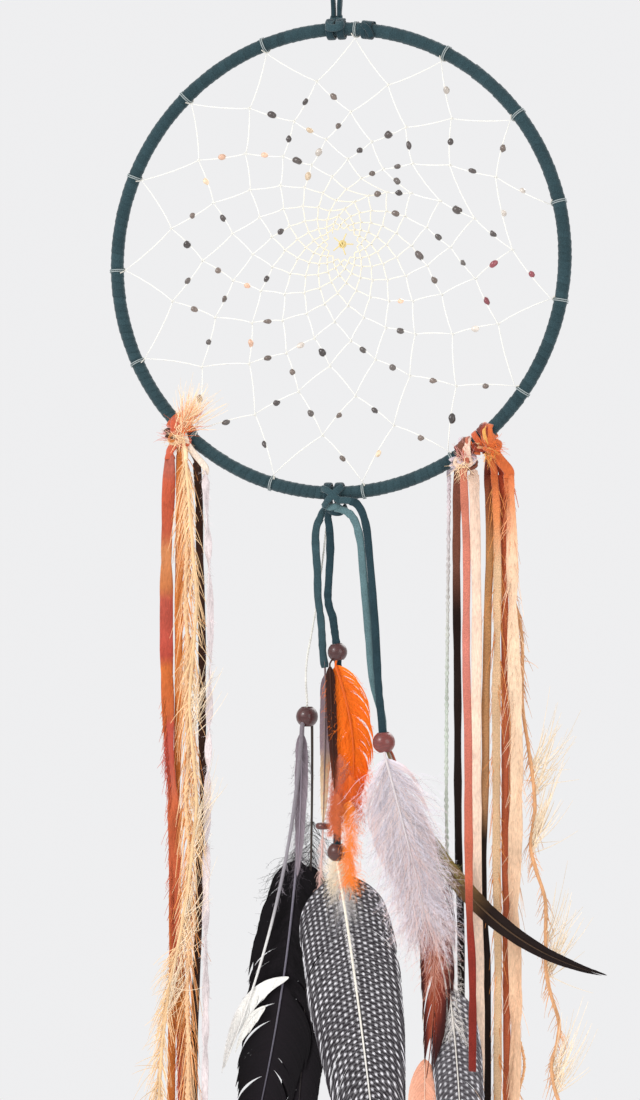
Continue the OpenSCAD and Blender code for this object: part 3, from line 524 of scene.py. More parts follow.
right("eyelash_yarn_right", eyelash_right, 1.4, 1.4, colour(208, 156, 112), ribbon, "cream_yarn", 29,
      round_cord=True, fuzz=layers((1, 420, 6, 0.4, 0.30, 1.2), *right_wisps))
curly = hanging(
    (8.3, 6.4, -12), 6.4, (8.8, 9.5, 10.3, 10.7, 11.3, 11.5, 11.3, 11.5, 11.8, 11.7, 11.6, 12.6, 15.8, 17,
    15, 12.7, 14, 16.2, 15, 13.4), (-25,) + RIGHT_ROWS[1:10] + (-207, -217, -225, -233, -242, -252, -262,
    -272, -282, -291))
right("curly_cord", curly, 1.4, 1.4, colour(222, 172, 124), ribbon, "cream_yarn", 30, ply=3)

# ------------------------------------------------------------------------------
# Hoop: a steel ring wound edge to edge with teal suede lace.
# Each turn laps a little over the one before, so the tube shows fine slanting ridges, with painted shade
# along each lap's edge.
# The wrap's end is tucked under a short collar just right of the hanging loop.
WRAP_R = 0.0026
WRAP_TURNS = 196
LAP, UNEVEN = 0.00016, 0.00003
RINGS_PER_TURN, WRAP_SIDES = 8, 22
COLLAR_ANGLE, COLLAR_HUG = 82, 3.1
LOOP_STEPS = 33


def hoop_wrap():
    rng = np.random.default_rng(40)
    rings, around = WRAP_TURNS * RINGS_PER_TURN, WRAP_SIDES
    theta = np.arange(rings) / rings * math.tau
    phi = np.arange(around) / around * math.tau
    lap = (WRAP_TURNS * theta[:, None] / math.tau + phi[None] / math.tau) % 1
    turn = (WRAP_TURNS * theta[:, None] / math.tau + phi[None] / math.tau).astype(int) % WRAP_TURNS
    tone = rng.normal(1, 0.07, WRAP_TURNS)[turn]
    radius = WRAP_R - LAP + LAP * np.minimum(lap * 1.15, (1 - lap) * 9)
    radius = radius + rng.normal(0, UNEVEN, WRAP_TURNS)[turn]
    reach = HOOP_R + radius * np.cos(phi)
    points = np.stack([reach * np.cos(theta)[:, None], radius * np.sin(phi),
                       HOOP_MIDDLE[2] + reach * np.sin(theta)[:, None]], -1)
    i = np.arange(rings)[:, None] * around
    j = (np.arange(rings)[:, None] + 1) % rings * around
    k, m = np.arange(around)[None], (np.arange(around)[None] + 1) % around
    faces = np.stack([i + k, i + m, j + m, j + k], -1).reshape(-1, 4).tolist()
    shape = Shape()
    # Painted shade: the tint darkens to 0.72 over the last sixth of each turn's width, where the surface
    # drops to the next turn, as shade in the crease between laps; the tone of each turn also varies at
    # random.
    tint = TEAL * 0.8 * tone[..., None] * (0.72 + 0.28 * np.minimum(1, (1 - lap) * 6))[..., None]
    shape.add(points, faces, tint.reshape(-1, 3))
    shape.make("suede_winding", suede, "suede", "hoop", "hoop_wrap")


hoop_wrap()

steel = material("steel", 0.35, 900, 0.05, 0.0, metal=1.0)
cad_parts["hoop_ring"].data.materials.clear()
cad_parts["hoop_ring"].data.materials.append(steel)


def tube_loop(shape, angle, shift, radius, wide, thick, tint, slant=0.0, start=0, sweep_by=360, sides=10):
    """One turn of lace round the hoop's tube; slant shifts its end along the tube."""
    middle, outward, along = tube_frame(angle)
    a = np.radians(np.linspace(start, start + sweep_by, LOOP_STEPS))
    run = shift * MM + slant * MM * np.linspace(-0.5, 0.5, LOOP_STEPS)
    path = (middle + run[:, None] * along + radius * MM * (np.cos(a)[:, None] * outward
                                                         + np.sin(a)[:, None] * np.array((0, 1, 0))))
    shape.sweep(path, wide * MM, thick * MM, tint, along, 0.0, sides, 0.5)


collar = Shape()
for shift, tone in ((-1.1, 0.9), (0.9, 1.05)):
    tube_loop(collar, COLLAR_ANGLE, shift, COLLAR_HUG, 2.2, 0.8, DARK_TEAL * tone, 0.8)
tucked_end = np.array(((-1.4, -2.9, 1.5), (0.2, -3.6, 0.6), (1.6, -3.2, -1.6), (2.0, -2.8, -3.2))) * MM
collar.sweep(smooth(tucked_end + tube_frame(COLLAR_ANGLE)[0], 6), 2.2 * MM, 0.9 * MM, DARK_TEAL,
             (0.7, 0, 0.7))
collar.make("wrap_collar", suede, "suede", "hoop", "wrap_end")

# ------------------------------------------------------------------------------
# Web: one long waxed thread, hitched to the hoop in fifteen places and to itself in every round.
# The rounds shrink towards a pale gold knot a little above the middle.
# Small chip beads are threaded on it as it is tied.
HITCHES, ROUNDS, SHRINK = 15, 12, 0.8
FIRST_HITCH = 13
THREAD_D = 0.0006
WEB_SHIFT = np.array((0.0025, 0, 0.0068))
WEB_MIDDLE = HOOP_MIDDLE + WEB_SHIFT
WRAP_CLEAR, HITCH_T, WEB_CLEAR = 0.00005, 0.0004, 0.00015
WEB_R = HOOP_R - WRAP_R - WRAP_CLEAR - HITCH_T - THREAD_D / 2 - WEB_CLEAR
HOOK = np.array((0, -THREAD_D - 0.0001, 0))  # a round hooks over the one before, in front of it
THREAD, MIDDLE_THREAD = colour(238, 236, 228), colour(240, 226, 188)
WEB_LINE, WEB_SAG, YELLOWED_R = 0.00042, 0.05, 0.03
TURN_R, TURN_LINE = 0.0006, 0.0004
HITCH_HUG = 2.82
HEART_R, HEART_LINE, ARM, ARM_LINE = 0.0013, 0.0006, 0.0042, 0.0005


def web_point(k, i):
    """Where the thread hooks on at place i of round k; the hoop is round 0."""
    a = math.radians(FIRST_HITCH + 360 / HITCHES * (i + k / 2))
    s = SHRINK ** k
    return (HOOP_MIDDLE + WEB_SHIFT * (1 - s)
            + WEB_R * s * np.array((math.cos(a), 0, math.sin(a))))


def span(k, i, rising):
    """The two ends of the falling or the rising half of a web span."""
    if not rising:
        return web_point(k, i) + HOOK, web_point(k + 1, i)
    return web_point(k + 1, i), (web_point(k + 1, 0) if i == HITCHES - 1 else web_point(k, i + 1)) + HOOK


web = Shape()
route = [p for k in range(ROUNDS) for i in range(HITCHES) for p in (web_point(k, i) + HOOK,
                                                                  web_point(k + 1, i))]
ends = np.array(route)
u = np.arange(4)[None, :, None] / 4
runs = ends[:-1, None] + (ends[1:] - ends[:-1])[:, None] * u
runs = runs + (WEB_MIDDLE - runs) * WEB_SAG * u * (1 - u)
runs = np.vstack([runs.reshape(-1, 3), ends[-1:]])
near = np.clip(np.hypot(*(runs - WEB_MIDDLE)[:, ::2].T) / YELLOWED_R, 0, 1)[:, None]
web.sweep(runs, WEB_LINE, WEB_LINE, MIDDLE_THREAD * (1 - near) + THREAD * near, (0, 1, 0), 0.0, 6, 1.0)
for k in range(1, ROUNDS):
    for i in range(HITCHES):
        a = np.linspace(0, math.tau, 10)
        middle = web_point(k, i) + HOOK / 2
        outward = unit(middle - WEB_MIDDLE)
        turn = middle + TURN_R * (np.sin(a)[:, None] * np.array((0, 1, 0)) + np.cos(a)[:, None] * outward)
        web.sweep(turn, TURN_LINE, TURN_LINE, THREAD * 0.92, np.cross(outward, (0, 1, 0)), 0.0, 5, 1.0)
web.make("web", thread_look, "thread", "hoop", "web_thread")

hitch_knots = Shape()
for i in range(HITCHES):
    angle = FIRST_HITCH + 360 / HITCHES * i
    for shift in (-0.35, 0.3):
        tube_loop(hitch_knots, angle, shift, HITCH_HUG, 0.4, 0.36, colour(150, 160, 160), 0.5, sides=6)
    tube_loop(hitch_knots, angle, 0, 3.0, 0.45, 0.45, colour(214, 210, 200), 2.2, 130, 100, 6)
hitch_knots.make("hitch_knots", thread_look, "thread", "hoop", "hoop_hitches")

heart = Shape()
rng = np.random.default_rng(41)
heart_at = HOOP_MIDDLE + WEB_SHIFT * (1 - SHRINK ** ROUNDS)
for turn in range(9):
    a = np.linspace(0, math.tau * 1.1, 22) + turn
    tilt = unit(rng.normal(0, 1, 3) + np.array((0, 1.5, 0)))
    one = unit(np.cross(tilt, (1, 0.3, 0.2)))
    two = np.cross(tilt, one)
    heart.sweep(heart_at + HEART_R * (np.cos(a)[:, None] * one + np.sin(a)[:, None] * two), HEART_LINE,
                HEART_LINE, colour(226, 204, 140) * rng.uniform(0.85, 1.1), tilt, 0.0, 6, 1.0)
for angle in range(20, 360, 72):
    tip = heart_at + ARM * np.array((math.sin(math.radians(angle)), 0, math.cos(math.radians(angle))))
    arm = smooth([heart_at, (heart_at + tip) / 2 + np.array((0, -0.0006, 0)), tip], 6)
    heart.sweep(arm, ARM_LINE, ARM_LINE, colour(228, 208, 150), (0, 1, 0), 0.0, 6, 1.0)
heart.make("web_heart", thread_look, "thread", "hoop", "web_centre_knot")

stone = material("chips", 0.35, 900, 0.25, 0.3, coat=0.4)


def chips(name, rounds, size, tints, slot, seed):
    """Tumbled stone chips: a ball cut by random planes, long way along the thread.

    rounds gives each round of the web the places of its chips, in hitches; a half is past the low point."""
    rng = np.random.default_rng(seed)
    shape = Shape()
    rows, cols = 9, 14
    lat = np.linspace(0, math.pi, rows)[:, None]
    lon = np.arange(cols)[None] / cols * math.tau
    ball = np.stack([np.sin(lat) * np.cos(lon), np.sin(lat) * np.sin(lon), np.cos(lat) + 0 * lon], -1)
    faces = [[r * cols + c, r * cols + (c + 1) % cols, (r + 1) * cols + (c + 1) % cols, (r + 1) * cols + c]
             for r in range(rows - 1) for c in range(cols)]
    for k, at in ((k, at) for k, places in enumerate(rounds) for at in places):
        a, b = span(k, int(at), at % 1 > 0)
        along = unit(b - a)
        one = unit(np.cross(along, (0, 1, 0.1)))
        two = np.cross(along, one)
        planes = unit(rng.normal(0, 1, (11, 3)))
        depth = rng.uniform(0.72, 1.0, 11)
        facing = np.maximum(ball @ planes.T, 1e-3)
        radius = np.minimum(1.0, (depth / facing).min(-1))[..., None]
        local = ball * radius * size / 2 * rng.uniform((0.75, 0.75, 0.95), (1.0, 1.0, 1.35))
        points = (a + b) / 2 + local[..., :1] * one + local[..., 1:2] * two + local[..., 2:] * along
        shape.add(points, faces, tints[rng.integers(len(tints))] * rng.uniform(0.75, 1.3))
    shape.make(name + "_chips", stone, slot, "hoop", name)


chips("web_beads_dark",
      ((0.5, 8.5, 9, 9.5, 10.5, 11.5, 12.5), (0, 0.5, 2.5, 3, 5.5, 6.5, 7, 7.5, 9, 9.5, 10, 10.5, 11.5,
       14), (0.5, 2, 3, 5, 6, 6.5, 8, 8.5, 10.5, 13), (0, 1, 7, 9.5, 10.5, 12, 13, 14.5), (0, 5.5, 14),
       (3.5, 13, 14)),
      0.0026, (colour(92, 84, 80), colour(70, 62, 60), colour(110, 96, 88)), "dark_chips", 45)
chips("web_beads_large",
      ((12,), (3.5, 6), (1, 14), (2.5, 8.5), (12,)),
      0.0034, (colour(66, 58, 56), colour(84, 74, 70)), "dark_chips", 46)
chips("web_beads_garnet",
      ((14,), (13, 13.5)),
      0.0028, (colour(128, 58, 66),), "garnet_chips", 47)
chips("web_beads_pale",
      ((0, 1.5, 11, 14.5), (4.5, 5, 12.5), (2.5, 3.5, 7.5), (2, 6, 8), (2, 10.5)),
      0.0026, (colour(214, 190, 160), colour(196, 186, 176), colour(222, 178, 150)), "pale_chips", 48)

# ------------------------------------------------------------------------------
# Knots of teal suede: the hanging loop's on the top of the hoop, the drops' at the bottom.
# Each is a lark's head: the lace goes twice round the tube and comes out under its own bar.
KNOT_HUG = 3.5
top_knot = Shape()
for shift, slant in ((-2.0, -0.5), (2.0, 0.5)):
    tube_loop(top_knot, 90, shift, KNOT_HUG, 2.9, 1.1, DARK_TEAL, slant)
bar = smooth(np.array(((3.3, -2.6, -50.8), (2.4, -4.2, -52.2), (0, -4.8, -52.8), (-2.4, -4.2, -52.2),
                       (-3.3, -2.6, -50.8))) * MM, 8)
top_knot.sweep(bar, 2.8 * MM, 1.1 * MM, TEAL, (0, 0, 1))
for side in (-1, 1):
    top_knot.sweep(smooth(np.array(((side * 1.1, 0, -47.6), (side * 1.3, -1.2, -49.4),
                                    (side * 1.6, -3.4, -50.9), (side * 1.7, -3.9, -53))) * MM, 6),
                   2.6 * MM, 1.1 * MM, TEAL, (1, 0, 0))
top_knot.make("top_knot", suede, "suede", "hanger_knot", "hanger_knot")

drop_knot = Shape()
for shift, slant in ((-3.2, 0.9), (1.2, -0.7)):
    tube_loop(drop_knot, 270, shift, KNOT_HUG, 2.9, 1.1, DARK_TEAL, slant)
CROSSING, HANGING = (0, 0, 1), (1, 0, 0.3)
KNOT_LACE, KNOT_THREAD = (2.7, 1.1), (1.0, 1.0)
for tint, flat, (wide, thick), points in (
        (TEAL, CROSSING, KNOT_LACE,
         ((-4.8, -3.0, 1.6), (-2.5, -4.7, 0.9), (0.4, -4.9, -1.2), (2.6, -3.9, -3.4))),
        (TEAL, CROSSING, KNOT_LACE,
         ((3.0, -2.4, 2.4), (1.2, -4.4, 0.6), (-1.8, -4.9, -2.4), (-4.2, -3.4, -5.2))),
        (LIGHT_TEAL, CROSSING, KNOT_LACE,
         ((-4.6, -2.0, -4.2), (-2.0, -3.2, -5.4), (1.0, -3.2, -5.2), (3.0, -1.4, -6.6))),
        (DARK_TEAL, CROSSING, KNOT_LACE,
         ((-5.0, 0.4, -4.6), (-1.0, -2.8, -7.0), (2.2, -2.2, -7.2), (3.4, 1.0, -5.0))),
        (TEAL, CROSSING, KNOT_LACE,
         ((1.0, -3.4, -3.0), (3.8, -4.6, -2.8), (6.2, -4.5, -3.0), (7.2, -4.4, -3.6))),
        (LIGHT_TEAL, HANGING, KNOT_LACE,
         ((0.6, -2.6, -6.2), (2.8, -3.8, -6.4), (4.8, -4.2, -7.0), (6.0, -4.2, -7.9))),
        (TEAL, HANGING, KNOT_LACE,
         ((-4.0, -0.6, -5.6), (-5.4, 0.4, -6.8), (-6.4, 1.1, -8.4), (-7.2, 1.3, -10.4))),
        (DARK_TEAL, HANGING, KNOT_LACE,
         ((-1.6, -1.6, -6.4), (-2.8, -1.0, -7.6), (-3.3, -0.3, -9.0), (-3.2, -0.1, -11.0))),
        (colour(205, 200, 188), HANGING, KNOT_THREAD,
         ((-3.0, 1.4, -4.6), (-4.0, 2.8, -6.4), (-4.4, 3.4, -8.4), (-4.6, 3.7, -10.4)))):
    drop_knot.sweep(smooth(np.array(points) * MM + BOTTOM, 8), wide * MM, thick * MM, tint, flat)
drop_knot.make("drop_knot", suede, "suede", "centre_knot", "centre_knot")


# ------------------------------------------------------------------------------
# The streamers' knots: the strands are doubled over the hoop and drawn through themselves.
# Turns of yarn go round the tube, and the strands leave below the knot; loose ends make a tuft.
TIE_HUG, TIE_FIBRE = 3.3, 0.22
LOOSE_LOOPS = 5
TERRACOTTA, GOLD, CREAM = colour(196, 92, 54), colour(220, 158, 84), colour(246, 214, 172)
ORANGE, MAROON, PINK = colour(222, 112, 50), colour(110, 48, 40), colour(214, 150, 140)


def gather(name, at, angle, shift, seed, strands, turns, fibres, covers):
    """One tie: turns are (place along the hoop, tint, width, slant), strands are (start, tint, width)
    and fibres are (count, root, direction, spread, length, tint)."""
    rng = np.random.default_rng(seed)
    shape = Shape()
    middle, outward, along = tube_frame(angle)
    for offset, tint, wide, slant in turns:
        tube_loop(shape, angle, offset, TIE_HUG, wide, 1.0, tint, slant)
    heart_of = middle + np.array(shift) * MM
    for start, tint, wide in strands:
        start = at + np.array(start, float) * MM
        lean = rng.normal(0, 0.5, 3) * MM
        over = middle + (start[0] - middle[0]) * 0.25 * np.array((1, 0, 0))
        path = smooth([start + np.array((0, 0, -0.0015)), start + np.array((0, 0, 0.0015)),
                       heart_of + lean + (start - heart_of) * np.array((0.45, 0.3, 0.25)),
                       over + np.array((0, -0.0048, 0.0)) + lean, over + np.array((0, -0.0032, 0.0034)),
                       over + np.array((0, 0.0005, 0.0042))], 7)
        shape.sweep(path, wide * MM, 1.0 * MM, tint, (1, 0, 0), wander(len(path), 5, 0.3, rng))
    for k in range(LOOSE_LOOPS):
        tint = strands[k % len(strands)][1]
        a = np.linspace(0, math.pi * 1.7, 20) + rng.uniform(0, 6)
        size = rng.uniform(2.2, 3.2) * MM
        place = np.array((rng.uniform(-3, 3), rng.uniform(-1.6, -0.2), rng.uniform(-1.5, 2))) * MM
        path = heart_of + place + size * np.stack([np.cos(a), 0.35 * np.sin(a + 1), 0.6 * np.sin(a)], 1)
        shape.sweep(path, 1.9 * MM, 1.0 * MM, tint * 0.95, (0, 0.6, 0.8), 0.0, 8, 0.6)
    shape.make(name, ribbon, "terracotta_yarn", "hoop", covers)
    fluff = Shape()
    u = np.linspace(0, 1, 7)[None, :, None]
    for count, root, aim, spread, reach, tint in fibres:
        roots = heart_of + (np.array(root) + rng.normal(0, 1.2, (count, 3))) * MM
        ways = unit(np.array(aim) + rng.normal(0, spread, (count, 3)))
        lengths = reach * MM * rng.uniform(0.45, 1, (count, 1, 1))
        paths = roots[:, None] + ways[:, None] * u * lengths
        paths = paths + rng.normal(0, 0.12, (count, 1, 3)) * (u ** 2) * lengths
        fluff.blades(paths, TIE_FIBRE * MM * (1 - 0.7 * u[..., 0]) * np.ones((count, 1)),
                     tint * rng.uniform(0.8, 1.2, (count, 1, 1)))
    return fluff.make(name + "_fibres", ribbon, "terracotta_yarn", "hoop")


left_fluff = gather(
    "left_tie", LEFT_SEAT, LEFT_ANGLE, (0.5, -3.4, -4.4), 42,
    (((-2.8, -4.6, -11), colour(190, 88, 60), 4.2), ((0.8, -3.4, -11), colour(196, 116, 58), 2.8),
     ((3.7, -6, -11), colour(228, 184, 138), 2.4), ((7.9, -4.4, -14), colour(74, 48, 36), 2.8),
     ((11.7, -6.1, -17), colour(222, 206, 190), 2.6), ((4.7, -8.3, -12), CREAM, 1.4)),
    ((-3.2, TERRACOTTA, 2.6, 0.6), (-0.4, ORANGE, 2.6, -0.8), (2.4, TERRACOTTA, 2.6, 0.5),
     (4.4, MAROON, 1.4, 0.9)),
    ((170, (2, -1.5, 4), (0.55, -0.25, 0.8), 0.28, 19, CREAM),
     (90, (2, -1.5, 3), (0.5, -0.25, 0.8), 0.35, 13, ORANGE),
     (50, (-3, -1, 1), (-0.9, -0.2, 0.1), 0.35, 5, PINK),
     (90, (0, -1.5, 0), (0.3, -0.6, -0.6), 0.5, 8, CREAM)),
    "left_knot")
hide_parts("left_tuft")

gather(
    "right_tie_inner", RIGHT_SEAT, 305.2, (-0.5, -2.6, -5.0), 43,
    (((-10.9, 2.4, -12), colour(206, 190, 196), 1.6), ((-7.6, 2.6, -12), colour(118, 70, 54), 2.8),
     ((-3.7, -4.6, -12), colour(186, 106, 82), 2.8), ((-1.3, 1.6, -12), colour(232, 204, 182), 3.4)),
    ((-2.4, MAROON, 2.4, 0.7), (0.2, PINK, 2.2, -0.8), (2.4, ORANGE, 2.2, 0.6)),
    ((60, (0, -1, 2), (0.0, -0.6, 0.8), 0.5, 6, PINK),
     (70, (0, -1, -1), (-0.2, -0.5, -0.6), 0.6, 7, CREAM)),
    "right_knot_inner")
gather(
    "right_tie_outer", RIGHT_SEAT, 310.6, (1.5, -2.2, -5.0), 44,
    (((3.7, 3.4, -12), colour(110, 46, 32), 2.8), ((6.5, 1.8, -12), colour(192, 96, 52), 2.8),
     ((9, 3.2, -12), colour(142, 54, 32), 2.8), ((12, 1.5, -12), colour(204, 104, 56), 4),
     ((9.9, 4.9, -12), colour(208, 156, 112), 1.4), ((8.3, 6.4, -12), GOLD, 1.4)),
    ((-2.2, TERRACOTTA, 2.4, -0.7), (0.3, MAROON, 2.2, 0.8), (2.6, ORANGE, 2.4, -0.5)),
    ((60, (2, -1, 0), (0.6, -0.4, -0.4), 0.5, 6, ORANGE),
     (50, (1, -1, -1), (0.3, -0.5, -0.8), 0.5, 6, GOLD)),
    "right_knot_outer")

# ------------------------------------------------------------------------------
# Wooden beads: turned, stained red-brown and lacquered, with a rounded bore for two laces.
# The laces' knots inside hold them; a flat bead sits on the slim feather behind.
wood = material("bead_wood", 0.4, 500, 0.15, 0.3, stretch=(1, 1, 3.5), coat=0.45)
BEAD_BORE, BORE_LIP, BORE_EDGE = 0.00195, 0.0002, 0.00012
RIM_ROUND, TURNING_MARKS, BEAD_SIDES = 0.0009, 0.006, 40


def bead(name, middle, wide, tilt, tint, flat=None, bore=BEAD_BORE):
    """A bead turned on a lathe: rounded outside, softened rims, straight bore."""
    high = (flat or math.sqrt(wide ** 2 - (2 * bore) ** 2)) / 2
    a = np.linspace(-1, 1, 19)
    level = a * high
    if flat:
        outer = wide / 2 - RIM_ROUND + RIM_ROUND * np.sqrt(1 - a ** 2)
    else:
        outer = np.sqrt(np.maximum((wide / 2) ** 2 - level ** 2, (bore + BORE_EDGE) ** 2))
    groove = 1 + TURNING_MARKS * np.cos(level / wide * 40)
    profile = ([(o * g, z) for o, z, g in zip(outer, level, groove)]
               + [(bore + BORE_LIP, high * 0.99), (bore, high * 0.9), (bore, -high * 0.9),
                  (bore + BORE_LIP, -high * 0.99)])
    count = BEAD_SIDES
    lean = math.radians(tilt)
    points = []
    for r, z in profile:
        for k in range(count):
            x, y = r * math.cos(k / count * math.tau), r * math.sin(k / count * math.tau)
            points.append((x * math.cos(lean) + z * math.sin(lean), y,
                           z * math.cos(lean) - x * math.sin(lean)))
    m = len(profile)
    faces = [[i * count + k, i * count + (k + 1) % count, (i + 1) % m * count + (k + 1) % count,
              (i + 1) % m * count + k] for i in range(m) for k in range(count)]
    shape = Shape()
    shape.add(np.array(points) + BOTTOM + middle, faces, tint)
    shape.make(name + "_turned", wood, "bead_wood", name, name)


RED_WOOD = colour(66, 20, 18)
bead("left_bead", (-0.014, 0.0085, -0.085), 0.0084, 0, RED_WOOD)
bead("middle_bead", (0.00035, 0, -0.060), 0.0074, -8, RED_WOOD * 0.9)
bead("lower_bead", (0.0002, 0, -0.1355), 0.0074, 0, colour(72, 24, 12))
bead("right_bead", (0.0206, -0.0085, -0.0932), 0.0084, -5, colour(110, 42, 36))
bead("flat_bead", (-0.0057, 0.0014, -0.1259), 0.0056, 0, colour(84, 34, 28), 0.0024, 0.0012)

# ------------------------------------------------------------------------------
# Feathers. Each has a tapered quill and hundreds of barbs that leave it slanting towards the tip.
# The barbs hook together in clumps with a few splits; near the quill's base they are loose down.
# They are pushed up into their beads and hang flat, one close behind another.
plume = material("plume", 0.62, 1400, 0.15, 0.14, sheen=0.35)
dark_plume = material("dark_plume", 0.5, 1400, 0.15, 0.2, sheen=0.12)
down_look = material("down", 0.85, 1400, 0.0, 0.08, sheen=0.5)


def spine(base, bend, tip):
    """The quill's curve, and the direction it runs, at each part t of its length."""
    base, bend, tip = (np.array(p, float) for p in (base, bend, tip))

    def place(t):
        t = np.asarray(t)[..., None]
        return base * (1 - t) ** 2 + bend * 2 * t * (1 - t) + tip * t * t

    def heading(t):
        t = np.asarray(t)[..., None]
        return unit((bend - base) * (1 - t) + (tip - bend) * t)

    return place, heading


def hang(flat, y):
    """Points drawn in a feather's own plane, in millimetres, put where the feather hangs."""
    y = np.broadcast_to(y, flat.shape[:-1])
    return np.stack([flat[..., 0], y, flat[..., 1]], -1) * MM + BOTTOM


BARBULE_WIDE = 0.05


class Feather(Shape):
    """One feather on its quill's curve, with random draws of its own."""

    def __init__(self, seed, base, bend, tip):
        super().__init__()
        self.rng = np.random.default_rng(seed)
        self.curve = spine(base, bend, tip)

    def vane(self, y, stem, left, right, shade, barbs=220, samples=10, lean=1.1, ragged=0.12, cup=0.5,
             peak=0.6, clump=0.1, end=0.985, blunt=0.6, curve=None):
        """The flat part: barbs side by side from stem to end, in clumps, on both sides of the quill."""
        place, heading = curve or self.curve
        rng = self.rng
        length = np.linalg.norm(np.diff(place(np.linspace(0, 1, 60)), axis=0), axis=1).sum()
        u = np.linspace(0, 1, samples)[None]
        for side, widest in ((1, left), (-1, right)):
            root = np.linspace(stem, end, barbs)
            group = np.cumsum(rng.random(barbs) < clump)
            shift = rng.normal(0, ragged, group.max() + 1)[group] + rng.normal(0, ragged * 0.15, barbs)
            finish = np.clip(root + lean * widest / length * (1 + shift), root + 0.004, 1.0)
            spread = (finish - stem) / (1 - stem)
            out = widest * np.maximum(np.sin(math.pi * spread ** peak), 0.0) ** blunt * (1 + shift * 0.25)
            t = root[:, None] + (finish - root)[:, None] * u ** 1.35
            across = out[:, None] * np.sin(u * math.pi / 2)
            way = heading(t)
            flat = place(t) + side * across[..., None] * np.stack([way[..., 1], -way[..., 0]], -1)
            depth = y + cup * (across / widest) ** 2 + rng.normal(0, 0.08, (barbs, 1)) * u
            wide = length * (end - stem) / barbs * 1.7 * (1 - 0.5 * u ** 2) * np.ones((barbs, 1))
            wide[:, -1] *= 0.3
            tints = shade(t, across, u * np.ones((barbs, 1)), side, root[:, None] * length)
            self.blades(hang(flat, depth), wide * MM, tints * rng.uniform(0.88, 1.12, (barbs, 1, 1)))

    def quill(self, y, thick, tint, end=0.98, thin=0.12, into=None, curve=None):
        """A tapered quill; into is the point inside its bead that it reaches up to, in millimetres."""
        place = (curve or self.curve)[0]
        t = np.linspace(0, end, 40)
        wide = (thin + (thick - thin) * (1 - t / end) ** 0.8) * MM
        tint = tint(t) if callable(tint) else np.broadcast_to(tint, (40, 3))
        path = hang(place(t), y)
        if into:
            neck = smooth([BOTTOM + np.array(into) * MM, path[0], path[2]], 5)[:6]
            path, wide, tint = (np.vstack([neck[:5], path]), np.r_[np.full(5, wide[0]), wide],
                                np.vstack([np.repeat(tint[:1], 5, 0), tint]))
        self.sweep(path, wide, wide, tint, (1, 0, 0), 0.0, 8, 1.0)

    def down(self, y, span_t, count, reach, tint, slant=0.9, curl=0.10, width=0.13, barbules=0, deep=0.25,
             taper=0.0, curve=None):
        """Loose curling barbs that leave the quill on both sides, with their own fine barbules."""
        place, heading = curve or self.curve
        rng = self.rng
        t = rng.uniform(span_t[0], span_t[1], count)
        side = rng.choice((1, -1), count)
        way = heading(t)
        out = np.stack([way[:, 1], -way[:, 0]], 1) * side[:, None]
        tilt = rng.normal(slant, 0.25, count)[:, None]
        aim = unit(out * np.cos(tilt) + way * np.sin(tilt))
        off = np.stack([aim[:, 1], -aim[:, 0]], 1)
        part = (t - span_t[0]) / (span_t[1] - span_t[0])
        lengths = rng.uniform(*reach, count) * (1 - taper * part)
        u = np.linspace(0, 1, 12)
        phase, waves = rng.uniform(0, math.tau, (count, 1)), rng.uniform(0.7, 2.2, (count, 1))
        sway = curl * u * np.sin(waves * math.tau * u + phase) + rng.normal(0, 0.18, (count, 1)) * u ** 2
        flat = (place(t)[:, None] + aim[:, None] * (u[None, :, None] * lengths[:, None, None])
                + off[:, None] * (sway * lengths[:, None])[..., None])
        flat[..., 1] -= (0.25 * lengths[:, None] * u ** 2)
        depth = y + rng.normal(0, deep, (count, 1)) * u * lengths[:, None] * 0.25
        tints = (tint(t) if callable(tint) else np.broadcast_to(tint, (count, 3)))[:, None]
        tints = tints * rng.uniform(0.85, 1.15, (count, 1, 1))
        paths = hang(flat, depth)
        self.blades(paths, width * MM * (1 - 0.6 * u[None]) * np.ones((count, 1)), tints)
        if barbules:
            at = rng.uniform(1, 10.9, (count, barbules))
            low = at.astype(int)
            rows = np.arange(count)[:, None]
            roots = paths[rows, low] + (paths[rows, low + 1] - paths[rows, low]) * (at - low)[..., None]
            along = unit(paths[rows, low + 1] - paths[rows, low])
            ways = unit(along * 0.8 + rng.normal(0, 0.8, along.shape) * np.array((1, 0.5, 1)))
            ends = roots + ways * rng.uniform(0.7, 1.7, (count, barbules, 1)) * MM
            pairs = np.stack([roots, ends], 2).reshape(-1, 2, 3)
            self.blades(pairs, np.full((len(pairs), 2), BARBULE_WIDE * MM),
                        np.repeat(tints, barbules, 1).reshape(-1, 1, 3))


def by_part(*stops):
    """A feather's colour down its length, between stops of (part of the length, red, green, blue)."""
    return lambda t, *rest: blend_stops(t, stops)


def from_root(inner, outer, power=1.0):
    """A vane that changes colour from the quill to its edge."""
    return lambda t, across, u, side, run: inner + (outer - inner) * (u ** power)[..., None]


def spotted(ground, spot, pitch, row, size):
    """Rows of round pale spots, staggered, on a dark ground with a fine pale bar between."""
    def shade(t, across, u, side, run):
        line = np.floor(across / pitch)
        in_row = (run + np.where(line % 2 == 0, 0, row / 2) + across * 0.55) / row
        dx = (across / pitch - line - 0.5) * pitch
        dz = (in_row - np.floor(in_row) - 0.5) * row
        pale = np.clip((size - np.hypot(dx, dz)) / 0.35 + 0.5, 0, 1)[..., None]
        haze = 0.10 * (np.sin(run * 5.2 + across * 2.5) > 0.2)[..., None]
        edge = np.clip(u * 1.2 - 0.3, 0, 1)[..., None] * 0.12
        return ground * (1 + edge) + (spot - ground) * np.maximum(pale, haze)
    return shade


BLACK, SOOT = colour(9, 6, 9), colour(22, 16, 22)
